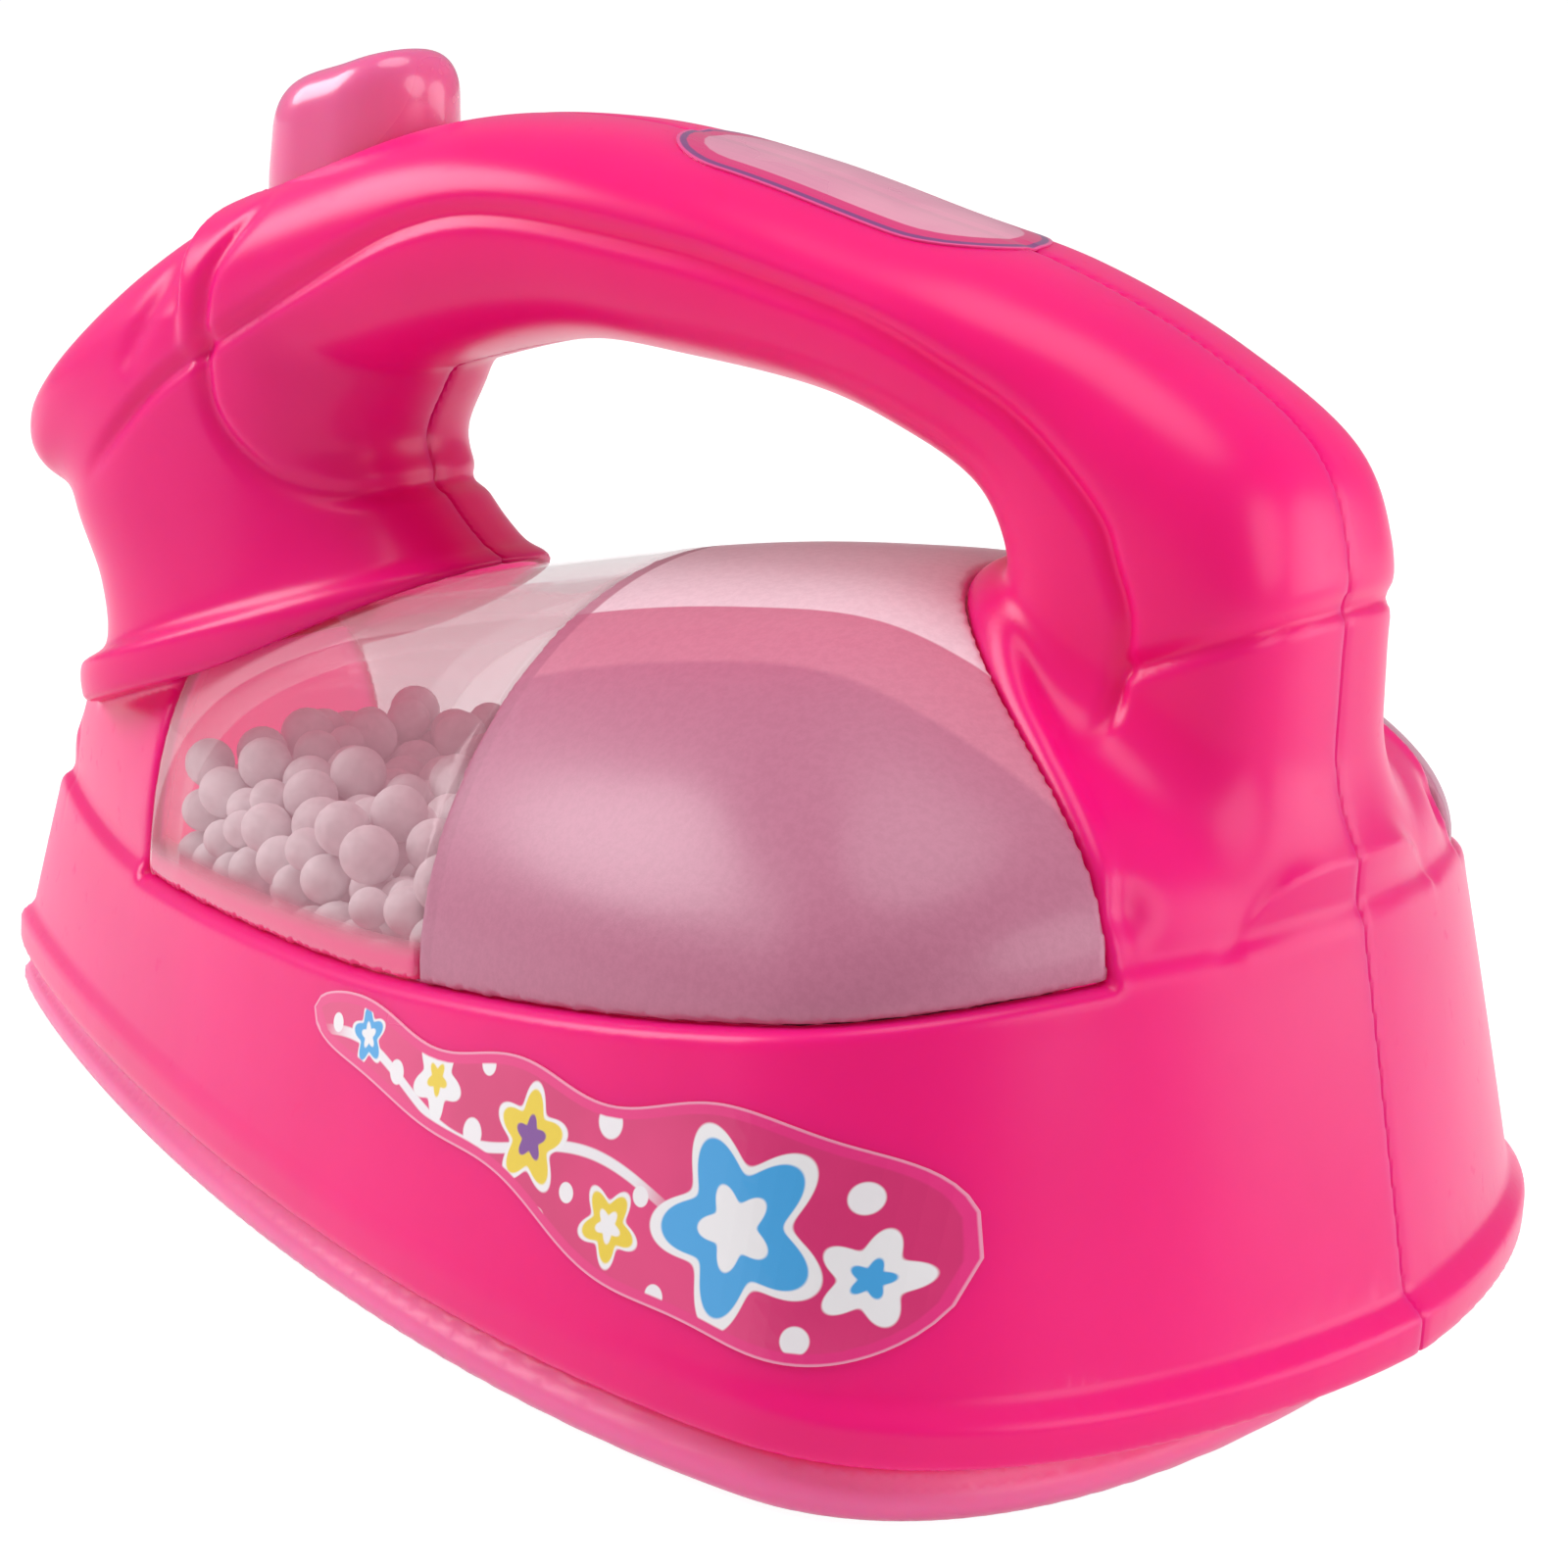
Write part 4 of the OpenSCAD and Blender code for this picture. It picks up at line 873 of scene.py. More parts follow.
class IRON_OT_case(bpy.types.Operator):
    """Carve the two halves of the moulded case"""

    bl_idname = "iron.case"
    bl_label = "Case halves"

    def execute(self, context):
        props = context.scene.iron_case
        case = carved()
        grid = case.grid
        near = open_shell(grid, case.dome, case.shell)
        far = screw_wells(grid, case.form, near)
        # The case's inner walls get a painted pink glow
        pink = moulded("pink_gloss", props.pink, glow=0.5)
        for name, values, mirrored in (("left_housing", near, False), ("right_housing", far, True)):
            half = blend_max(values, grid.y + SEAM_GAP, SEAM_EDGE).astype(np.float32)
            piece = field_object(name + "_look", grid, half, props.thin, mirrored, values)
            co = places(piece)
            co[:, 1] = -np.abs(co[:, 1])
            # Mark the inner walls that get the painted pink glow
            inner = smooth_step(-0.5 * WALL, -0.85 * WALL, grid.sample(case.form, co))
            behind = np.maximum(smooth_step(0.5, -0.5, grid.sample(case.dome, co)), co[:, 0] > WINDOW_X)
            mark(piece.data, "inner", inner * behind)
            piece.data.materials.append(pink)
            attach(piece, "case")
            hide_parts(name)
        return {"FINISHED"}


def pane_finish(name, tint, pink, painted_rim_pink, alpha, roughness):
    """Clear or frosted plastic with a painted pink glow of the case along its lower edge, where it is more
    solid, and a painted pale sheen over the crest.
    """
    material, f = new_finish(name)
    height = f.marked("over_rim")
    # Painted pink glow of the case along the pane's lower edge, which is also more solid there
    low = 1 - height.fade(1.4, 3.6)
    mist = f.noise(160.0, 3.0, 0.5)
    # Painted pale sheen over the crest, more solid there
    crest_sheen = 1 - abs(f.axis(1)).fade(CREST_SHEEN_Y - 0.15, CREST_SHEEN_Y + 0.15)
    shade = f.mix(low * painted_rim_pink, rgba(tint), rgba(pink))
    shade = f.mix(crest_sheen * 0.6, shade, rgba(CLEAR_CREST_SHEEN))
    solid = alpha + low * painted_rim_pink * (1 - alpha) + mist.fade(0.45, 0.75) * 0.02 + crest_sheen * 0.16
    f.surface({"Base Color": shade, "Alpha": solid, "Roughness": roughness + mist * 0.05,
               "Normal": f.bump(mist, 0.03, 0.0006), "IOR": 1.46, "Coat Weight": 0.3, "Coat Roughness": 0.04})
    return material


def frosted_finish(name, tint):
    """Frosted plastic, finely grained, painted lighter and clearer towards the crest, with a painted lighter
    zone over its upper part and a painted pale sheen on the crest.
    """
    material, f = new_finish(name)
    height = f.marked("over_rim")
    grain = f.noise(1500.0, 3.0, 0.7)
    cloud = f.noise(26.0, 3.0, 0.5)
    # Painted light: lighter and clearer towards the crest
    light = height.fade(4.0, 18.0)
    shade = f.mix(cloud, rgba(deeper(tint, 0.95)), rgba(deeper(tint, 1.05)))
    beside = abs(f.axis(1))
    shade = f.mix(light * 0.5, shade, rgba(deeper(tint, 1.12)))
    # Painted light: the upper zone is lighter
    shade = f.mix(1 - beside.fade(LIT_ZONE_Y - 0.4, LIT_ZONE_Y + 0.4), shade, rgba(FROSTED_LIT_ZONE))
    # Painted pale sheen over the crest
    crest_sheen = 1 - beside.fade(CREST_SHEEN_Y - 0.15, CREST_SHEEN_Y + 0.15)
    shade = f.mix(crest_sheen, shade, rgba(FROSTED_CREST_SHEEN))
    front = f.axis(0) + (f.axis(2) - 30) * PARTITION_LEAN
    band = PARTITION_X + PARTITION_T
    shade = f.mix((1 - front.fade(band, band + 0.4)) * 0.8, shade, rgba(deeper(tint, 0.94)))
    speck = f.mix(grain.fade(0.35, 0.65), rgba((0.94, 0.92, 0.93)), rgba(WHITE))
    both = f.node("ShaderNodeMix", {"data_type": "RGBA", "blend_type": "MULTIPLY"},
                  {0: 1.0, 6: shade, 7: speck}, 2)
    f.surface({"Base Color": both, "Alpha": 0.92 - light * 0.06 + grain * 0.02,
               "Roughness": 0.42 + grain * 0.08, "Normal": f.bump(grain, 0.12, 0.0002), "IOR": 1.46,
               "Coat Weight": 0.3, "Coat Roughness": 0.22})
    return material


class IRON_OT_panes(bpy.types.Operator):
    """Skin the clear window and the frosted lamp cover"""

    bl_idname = "iron.panes"
    bl_label = "Window and lamp cover"

    def execute(self, context):
        props = context.scene.iron_window
        pink = tuple(context.scene.iron_case.pink)
        case = carved()
        whole = Field((WINDOW_X - 2, -46.2, 18.0), (64.0, 46.2, 63.0), case.grid.step * 1.15)
        mirror = np.abs(whole.axes[1])
        near = np.stack(np.meshgrid(whole.axes[0], -mirror, whole.axes[2], indexing="ij"), -1)
        solid = case.grid.sample(case.dome, near.reshape(-1, 3)).reshape(near.shape[:3])
        skin = blend_max(solid, -(solid + PANE), 0.3)
        edge = rim(whole.axes[0].astype(float))[:, None, None]
        deck = (whole.x - deck_edge(whole.y) + FIT / 3) / DECK_SLOPE
        plan_cut = blend_max(WINDOW_X + FIT - whole.x, deck, 0.3)
        skin = blend_max(skin, edge + 0.05 - whole.z, 0.3)
        skin = blend_max(skin, plan_cut, 0.3)
        front = whole.x - partition_at(whole.z)
        window = blend_max(skin, front, 0.3)
        cover = blend_max(skin, FIT - front, 0.3)
        slab = np.abs(front - FIT - PARTITION_T / 2) - PARTITION_T / 2
        slab = np.maximum(np.maximum(slab, solid + PANE - 0.4), PARTITION_Z - whole.z)
        cover = blend_min(cover, slab, 0.4)
        clear = pane_finish("clear_window", props.clear, pink, 0.8, 0.22, 0.06)
        frosted = frosted_finish("frosted_cover", tuple(props.frosted))
        for name, values, finish, slot in (("front_window", window, clear, "clear_window"),
                                           ("lamp_cover", cover, frosted, "frosted_cover")):
            piece = field_object(name + "_look", whole, values.astype(np.float32), 0.6)
            co = places(piece)
            mark(piece.data, "over_rim", co[:, 2] - rim(co[:, 0]))
            piece.data.materials.append(finish)
            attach(piece, "case")
            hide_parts(name)
        return {"FINISHED"}


# Grid step, taper above a height, fall of the crown across it and radius of its edge
BUTTON_STEP = 0.34
BUTTON_TAPER = 0.055
BUTTON_TAPER_Z = 82
BUTTON_CROWN = 0.016
BUTTON_EDGE = 3.4
# The button's top in side view: place along it, height
BUTTON_TOP = [(-8.75, 88.9), (-6, 90.1), (-3, 91.1), (0, 92), (3, 93), (5.2, 93.5), (7, 93.5), (8.75, 93.1)]


class IRON_OT_button(bpy.types.Operator):
    """Shape the push button with its two shoulders"""

    bl_idname = "iron.button"
    bl_label = "Push button"

    def execute(self, context):
        low, high = (np.array(c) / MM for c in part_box("switch_button"))
        grid = Field(low - 1.3, high + 1.3, BUTTON_STEP)
        x = grid.x - BUTTON_X
        half = (BUTTON_L - BUTTON_W) / 2
        cap = np.hypot(np.maximum(np.abs(x) - half, 0), grid.y) - BUTTON_W / 2
        taper = BUTTON_TAPER * np.maximum(grid.z - BUTTON_TAPER_Z, 0)
        crown = on_curve(BUTTON_TOP, np.clip(x, -BUTTON_L / 2, BUTTON_L / 2)) - BUTTON_CROWN * grid.y ** 2
        body = blend_max(cap + taper, (grid.z - crown) * 0.95, BUTTON_EDGE)
        body = blend_max(body, low[2] - grid.z, 0.4)
        disc = np.hypot(np.maximum(np.abs(x) - 0.25, 0), grid.y) - (BUTTON_W + 3) / 2
        disc = blend_max(disc, np.abs(grid.z - low[2] - 0.75) - 0.75, 0.4)
        values = np.minimum(body, disc)
        values = np.maximum(values, np.abs(x) - BUTTON_L / 2)
        piece = field_object("switch_button_look", grid, values.astype(np.float32), 0.5)
        pale = tuple(context.scene.iron_case.pale)
        piece.data.materials.append(moulded("button_pink", pale, 0.24, 0.4, 0.06, 0.04, 0.5))
        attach(piece, "button")
        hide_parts("switch_button")
        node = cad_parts["button_spring"]
        coil = bpy.data.objects.new("button_spring_look", node.data.copy())
        coil.data.transform(node.matrix_world)
        coil.data.materials.clear()
        coil.data.materials.append(plain_metal("spring_steel", STEEL))
        context.scene.collection.objects.link(coil)
        low, high = (np.array(c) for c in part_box("button_spring"))
        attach(coil, "case")
        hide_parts("button_spring")
        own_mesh(coil)
        return {"FINISHED"}


def box_field(grid, *ends):
    """Distance to a box, from its low and high end along x, y and z."""
    sides = [np.abs(axis - (low + high) / 2) - (high - low) / 2
             for axis, low, high in zip((grid.x, grid.y, grid.z), ends[::2], ends[1::2])]
    return np.maximum(np.maximum(sides[0], sides[1]), sides[2])


class IRON_OT_sole(bpy.types.Operator):
    """Mould the sole plate with its rounded edge, battery tub and screw seats"""

    bl_idname = "iron.sole"
    bl_label = "Sole plate"

    def execute(self, context):
        nose = [(-HALF_L + 0.4, 0), (-HALF_L + 0.4, 2.5), NOSE_CURVE[2], NOSE_CURVE[3]]
        heel = [HEEL_CURVE[0], HEEL_CURVE[1], (HALF_L - 5.6, 8), (HALF_L - 5.6, 0)]
        outline = plan_outline(nose, heel)
        outline[:, 1] *= (HALF_W - 0.2) / HALF_W
        plan = PlanDistance(outline)
        grid = Field((-76.4, -50.6, -1.2), (71.6, 50.6, 21.6), SOLE_STEP)
        across = plan(*np.broadcast_arrays(grid.x[:, :, 0], grid.y[:, :, 0]))[:, :, None]
        plate = blend_max(across, np.abs(grid.z - SOLE_T / 2) - SOLE_T / 2, SOLE_EDGE)
        rib = np.maximum(across + SOLE_RIB_IN, np.abs(grid.z - 3) - SOLE_RIB_TOP + 3)
        plate = blend_min(plate, np.maximum(rib, -across - SOLE_RIB_IN - 3), 0.4)
        around = np.array(TUB) + TUB_WALL * np.array((-1, 1, -1, 1))
        tub = box_field(grid, *around, 1, TUB_TOP + TUB_WALL)
        motor = np.hypot(grid.x - MOTOR_X, grid.y)
        seat = np.maximum(motor - MOTOR_SEAT_R, np.abs(grid.z - 4.1) - 2.1)
        form = np.minimum(np.minimum(plate, tub), seat)
        form = np.maximum(form, -box_field(grid, *TUB, -3, TUB_TOP))
        form = np.maximum(form, -box_field(grid, *DOOR_SEAT))
        form = np.maximum(form, -np.maximum(motor - MOTOR_BORE_R, 4.0 - grid.z))
        for x, y in SOLE_SCREWS:
            rod = np.hypot(grid.x - x, grid.y - y)
            form = np.maximum(form, -np.maximum(rod - SCREW_HEAD_R, grid.z - 2.0))
        piece = field_object("sole_plate_look", grid, form.astype(np.float32), 0.5)
        piece.data.materials.append(moulded("sole_pink", tuple(context.scene.iron_case.sole), 0.3))
        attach(piece, "case")
        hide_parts("sole_plate")
        return {"FINISHED"}


def settled_beads(props):
    """Places and radii of beads that have dropped into the chamber, by pushing overlaps apart."""
    case = carved()
    rng = np.random.default_rng(props.seed)
    count = props.beads
    radius = rng.uniform(props.bead_min, props.bead_max, count) / 2 / MM
    place = np.stack([rng.uniform(*ends, count) for ends in BEAD_START], 1)
    reach = radius[:, None] + radius[None, :] + 0.06
    np.fill_diagonal(reach, 0)
    for turn in range(BEAD_TURNS):
        if turn < BEAD_DROPS:
            place[:, 2] -= BEAD_DROP
        for _ in range(2):
            gap = place[:, None, :] - place[None, :, :]
            far = np.maximum(np.sqrt((gap * gap).sum(2)), 1e-6)
            push = np.where(far < reach, (reach - far) / 2, 0)[:, :, None] * gap / far[:, :, None]
            place += push.sum(1)
            rear = partition_at(place[:, 2]) - 0.2 - radius
            place[:, 0] = np.clip(place[:, 0], WINDOW_X + 1.2 + radius, rear)
            floor = np.where(place[:, 0] > TRAY_STEP_X - radius, TRAY_STEP, TRAY_FLOOR) + radius + 0.05
            place[:, 2] = np.maximum(place[:, 2], floor)
            out = place[:, :2] - (MOTOR_X, 0)
            away = np.maximum(np.linalg.norm(out, axis=1), 1e-6)
            clear = PADDLE_R + radius
            over = PADDLE_TOP + radius
            low = (away < clear) & (place[:, 2] < over)
            shift = np.minimum(clear - away, 0.3)
            climb = low & (over - place[:, 2] < 1.2)
            place[climb, 2] = over[climb]
            aside = low & ~climb
            place[aside, :2] += (out / away[:, None] * shift[:, None])[aside]
            folded = place.copy()
            folded[:, 1] = -np.abs(place[:, 1])
            depth = case.grid.sample(case.dome, folded) + PANE + 0.35 + radius
            slope = case.grid.slopes(case.dome, folded)
            slope[:, 1] *= -np.sign(place[:, 1])
            place -= np.maximum(depth, 0)[:, None] * slope
    return place, radius


class IRON_OT_beads(bpy.types.Operator):
    """Drop the foam beads into the window"""

    bl_idname = "iron.beads"
    bl_label = "Foam beads"

    def execute(self, context):
        place, radius = settled_beads(context.scene.iron_window)
        mesh = bpy.data.meshes.new("bead_places")
        mesh.from_pydata((place * MM).tolist(), [], [])
        mark(mesh, "bead_radius", radius * MM)
        holder = bpy.data.objects.new("bead_places", mesh)
        context.scene.collection.objects.link(holder)
        foam = matt("white_foam", (0.86, 0.85, 0.86), 0.62, 700.0)
        tree = bpy.data.node_groups.new("beads", "GeometryNodeTree")
        tree.interface.new_socket("Geometry", in_out="INPUT", socket_type="NodeSocketGeometry")
        share = tree.interface.new_socket("Size share", in_out="INPUT", socket_type="NodeSocketFloat")
        tree.interface.new_socket("Geometry", in_out="OUTPUT", socket_type="NodeSocketGeometry")
        f = Finish(tree)
        entry = tree.nodes.new("NodeGroupInput")
        ball = f.node("GeometryNodeMeshIcoSphere", {}, {"Radius": 1.0, "Subdivisions": 3})
        named = f.node("GeometryNodeInputNamedAttribute", {"data_type": "FLOAT"}, {"Name": "bead_radius"})
        scale = named * Value(f, entry.outputs["Size share"])
        turn = f.node("FunctionNodeRandomValue", {"data_type": "FLOAT_VECTOR"},
                      {0: (0.0, 0.0, 0.0), 1: (6.28, 6.28, 6.28), "Seed": 3})
        spread = f.node("GeometryNodeInstanceOnPoints", {}, {
            "Points": Value(f, entry.outputs["Geometry"]), "Instance": ball, "Rotation": turn,
            "Scale": scale})
        whole = f.node("GeometryNodeRealizeInstances", {}, {"Geometry": spread})
        eased = f.node("GeometryNodeSetShadeSmooth", {}, {"Geometry": whole})
        done = f.node("GeometryNodeSetMaterial", {}, {"Geometry": eased, "Material": foam})
        f.node("NodeGroupOutput", {}, {"Geometry": done})
        change = holder.modifiers.new("beads", "NODES")
        change.node_group = tree
        change[share.identifier] = 1.0
        plain = evaluated_mesh(holder)
        holder.modifiers.remove(change)
        bpy.data.objects.remove(holder)
        piece = bpy.data.objects.new("foam_beads_look", plain)
        context.scene.collection.objects.link(piece)
        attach(piece, "case")
        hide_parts("foam_beads")
        return {"FINISHED"}


def first_hit(*lines):
    """Where lines of sight, given by x, y and z, first meet the case, and the way out of its wall there."""
    case = carved()
    tried = np.stack(np.broadcast_arrays(*lines), -1)
    values = case.grid.sample(case.form, tried.reshape(-1, 3)).reshape(tried.shape[:2])
    row = np.arange(len(tried))
    after = np.maximum((values < 0).argmax(1), 1)
    a = values[row, after - 1]
    b = values[row, after]
    share = (a / (a - b))[:, None]
    place = tried[row, after - 1] * (1 - share) + tried[row, after] * share
    return place, case.grid.slopes(case.form, place)


def seek_side(points):
    """Places on the near flank behind points (x, z) of the side view, and the way out there."""
    return first_hit(points[:, :1], np.linspace(-51.2, -24, 200)[None], points[:, 1:])


def seek_top(points):
    """Places on the handle's back below points (x, y) of the top view, and the way out there."""
    height = np.linspace(91.4, 74, 140)[None]
    place, way = first_hit(points[:, :1], -np.abs(points[:, 1:]), height)
    side = np.ones((len(points), 3))
    side[points[:, 1] > 0, 1] = -1
    return place * side, way * side


def film_object(name, outline, seek, mirrored=False):
    """A thin film with a cut outline that lies on the case, marked with the distance from its edge."""
    low, high = outline.min(0), outline.max(0)
    rows = [np.arange(a, b, FILM_STEP) for a, b in zip(low, high)]
    inner = np.stack([axis.ravel() for axis in np.meshgrid(*rows, indexing="ij")], 1)
    turned = np.roll(outline, -1, 0)
    way = turned - outline

    def from_edge(points):
        gap = points[:, None, :] - outline[None]
        t = np.clip((gap * way).sum(2) / (way * way).sum(1), 0, 1)
        return np.sqrt(((gap - t[:, :, None] * way) ** 2).sum(2)).min(1)

    above = (outline[None, :, 1] > inner[:, None, 1]) != (turned[None, :, 1] > inner[:, None, 1])
    rise_x = outline[None, :, 0] + (inner[:, None, 1] - outline[None, :, 1]) * way[None, :, 0] / np.where(
        way[None, :, 1] == 0, 1e-9, way[None, :, 1])
    inside = ((above & (inner[:, None, 0] < rise_x)).sum(1) % 2 == 1) & (from_edge(inner) > FILM_STEP * 0.4)
    flat = np.vstack([outline, inner[inside]])
    count = len(outline)
    ring = [(k, (k + 1) % count) for k in range(count)]
    found = delaunay_2d_cdt([Vector(p) for p in flat], ring, [list(range(count))], 1, 1e-5)
    flat = np.array([tuple(p) for p in found[0]])
    faces = [list(face) for face in found[2]]
    place, out = seek(flat)
    total = len(flat)
    points = np.vstack([place + out * FILM_LIFT, place + out * 0.02])
    a, b, c = (points[faces[0][k]] for k in range(3))
    if np.dot(np.cross(b - a, c - a), out[faces[0][0]]) < 0:
        faces = [face[::-1] for face in faces]
    used = {}
    for face in faces:
        for p, q in zip(face, face[1:] + face[:1]):
            used[(p, q)] = True
    sides = [[q, p, p + total, q + total] for p, q in used if (q, p) not in used]
    faces = faces + [[k + total for k in face[::-1]] for face in faces] + sides
    if mirrored:
        points[:, 1] *= -1
        faces = [face[::-1] for face in faces]
    obj = mesh_object(name, points, faces)
    mark(obj.data, "from_edge", np.tile(from_edge(flat), 2))
    return obj


def wavy_outline(box):
    """The cut edge of the side film: a ribbon that swells towards the heel, with soft waves."""
    (x0, z0), (x1, z1) = box
    t = np.linspace(0, 1, 90)
    swell = 0.36 + 0.64 * smooth_step(0.2, 0.85, t)
    round_off = np.sqrt(np.clip(1 - np.abs(2 * t - 1) ** 7, 0, 1))
    middle = 0.62 - 0.12 * smooth_step(0.1, 0.8, t)
    wave = 0.055 * np.sin(t * 19) * np.sin(np.pi * t)
    half = 0.5 * swell * round_off * 0.92
    top = np.clip(middle + half + wave, 0, 1)
    low = np.clip(middle - half + wave * 0.7, 0, 1)
    x = x0 + (x1 - x0) * t
    upper = np.stack([x, z0 + (z1 - z0) * top], 1)
    under = np.stack([x, z0 + (z1 - z0) * low], 1)[::-1]
    return np.vstack([upper, under[1:-1]])[::-1]


def pill_outline(box):
    """A slot with round ends."""
    (x0, y0), (x1, y1) = box
    radius = (y1 - y0) / 2
    turn = np.linspace(-math.pi / 2, math.pi / 2, 25)
    right = np.stack([x1 - radius + radius * np.cos(turn), (y0 + y1) / 2 + radius * np.sin(turn)], 1)
    left = np.stack([x0 + radius - radius * np.cos(turn), (y0 + y1) / 2 - radius * np.sin(turn)], 1)
    steps = np.linspace(0, 1, 30)[1:-1, None]
    top = right[-1] + (left[0] - right[-1]) * steps
    low = left[-1] + (right[0] - left[-1]) * steps
    return np.vstack([right, top, left, low])


# Flowers on the side film: place along and up it, size in millimetres, turn, petals, middle
FLOWERS = [
    (0.77, 0.52, 7.5, 0.4, PRINT_BLUE, PRINT_WHITE),
    (0.92, 0.42, 3.5, 1.1, PRINT_WHITE, PRINT_BLUE),
    (0.6, 0.36, 3.1, 0.2, PRINT_YELLOW, PRINT_WHITE),
    (0.46, 0.57, 4.1, 0.9, PRINT_YELLOW, PRINT_PURPLE),
    (0.28, 0.62, 3.2, 0.1, PRINT_WHITE, PRINT_YELLOW),
    (0.13, 0.64, 2.5, 0.6, PRINT_BLUE, PRINT_WHITE),
]
# Dots on the side film: place along and up it, size in millimetres
DOTS = [(0.06, 0.62, 0.8), (0.2, 0.56, 1.0), (0.36, 0.48, 1.2), (0.37, 0.78, 0.9), (0.53, 0.42, 0.8),
        (0.58, 0.76, 1.3), (0.68, 0.16, 0.9), (0.86, 0.15, 1.1), (0.64, 0.52, 0.8), (0.9, 0.72, 1.2),
        (0.49, 0.27, 0.9)]


def side_film_finish(box):
    """Printed film with flowers, dots and a waving stem, clear along its cut edge, with a painted highlight
    on that edge.
    """
    material, f = new_finish("side_film")
    (x0, z0), (x1, z1) = box
    x = f.axis(0)
    z = f.axis(2)
    edge = f.marked("from_edge")

    def aside(u, v):
        return x - (x0 + (x1 - x0) * u), z - (z0 + (z1 - z0) * v)

    cloud = f.noise(60.0, 3.0, 0.5)
    shade = f.mix(cloud.fade(0.35, 0.65), rgba((0.66, 0.018, 0.155)), rgba((0.76, 0.028, 0.19)))
    along = (x - x0) / (x1 - x0)
    stem = (along * 14).math("SINE", 0.0) * 1.6 + z0 + (z1 - z0) * 0.52
    line = 1 - abs(z - stem).fade(0.3, 0.5)
    line = line * along.fade(0.02, 0.1) * (1 - along.fade(0.62, 0.7))
    shade = f.mix(line, shade, rgba((0.84, 0.8, 0.84)))
    for u, v, size in DOTS:
        dx, dz = aside(u, v)
        dot = 1 - (dx * dx + dz * dz).fade(size * size * 0.7, size * size)
        shade = f.mix(dot, shade, rgba((0.86, 0.82, 0.85)))
    for u, v, size, turn, petals, middle in FLOWERS:
        dx, dz = aside(u, v)
        far = (dx * dx + dz * dz).math("POWER", 0.5)
        petal = (dz.math("ARCTAN2", dx) * 5 + turn * 5).math("COSINE", 0.0)
        reach = petal * 0.2 * size + 0.8 * size
        for share, print_colour in ((1.0, PRINT_WHITE), (0.86, petals), (0.42, middle)):
            shade = f.mix((reach * share - far).fade(-0.1, 0.15), shade, rgba(print_colour))
    shade = f.mix(1 - edge.fade(0.75, 0.95), shade, rgba((0.8, 0.02, 0.21)))
    # Painted highlight along the film's cut edge
    shade = f.mix(1 - edge.fade(0.1, 0.24), shade, rgba((0.86, 0.3, 0.46)))
    f.surface({"Base Color": shade, "Roughness": 0.22 + cloud * 0.08, "Normal": f.bump(cloud, 0.04, 0.001),
               "Coat Weight": 0.35, "Coat Roughness": 0.06})
    return material


def handle_film_finish():
    """Printed pill: magenta border, purple line, pale panel."""
    material, f = new_finish("handle_film")
    edge = f.marked("from_edge")
    cloud = f.noise(80.0, 3.0, 0.5)
    shade = f.mix(cloud.fade(0.35, 0.65), rgba((0.78, 0.27, 0.42)), rgba((0.86, 0.34, 0.48)))
    shade = f.mix(1 - edge.fade(2.1, 2.3), shade, rgba((0.74, 0.01, 0.18)))
    shade = f.mix(1 - edge.fade(0.75, 0.9), shade, rgba((0.22, 0.03, 0.2)))
    shade = f.mix(1 - edge.fade(0.2, 0.35), shade, rgba((0.85, 0.06, 0.3)))
    f.surface({"Base Color": shade, "Roughness": 0.24 + cloud * 0.08, "Normal": f.bump(cloud, 0.04, 0.001),
               "Coat Weight": 0.35, "Coat Roughness": 0.06})
    return material


class IRON_OT_films(bpy.types.Operator):
    """Lay the printed films on the flanks and the handle"""

    bl_idname = "iron.films"
    bl_label = "Printed films"

    def execute(self, context):
        low, high = (np.array(c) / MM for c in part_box("left_sticker"))
        side = ((low[0], low[2]), (high[0], high[2]))
        finish = side_film_finish(side)
        for name, mirrored in (("left_sticker", False), ("right_sticker", True)):
            piece = film_object(name + "_look", wavy_outline(side), seek_side, mirrored)
            piece.data.materials.append(finish)
            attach(piece, "case")
            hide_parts(name)
        low, high = (np.array(c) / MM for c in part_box("handle_sticker"))
        pill = pill_outline((low[:2], high[:2]))
        piece = film_object("handle_sticker_look", pill, seek_top)
        piece.data.materials.append(handle_film_finish())
        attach(piece, "case")
        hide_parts("handle_sticker")
        return {"FINISHED"}


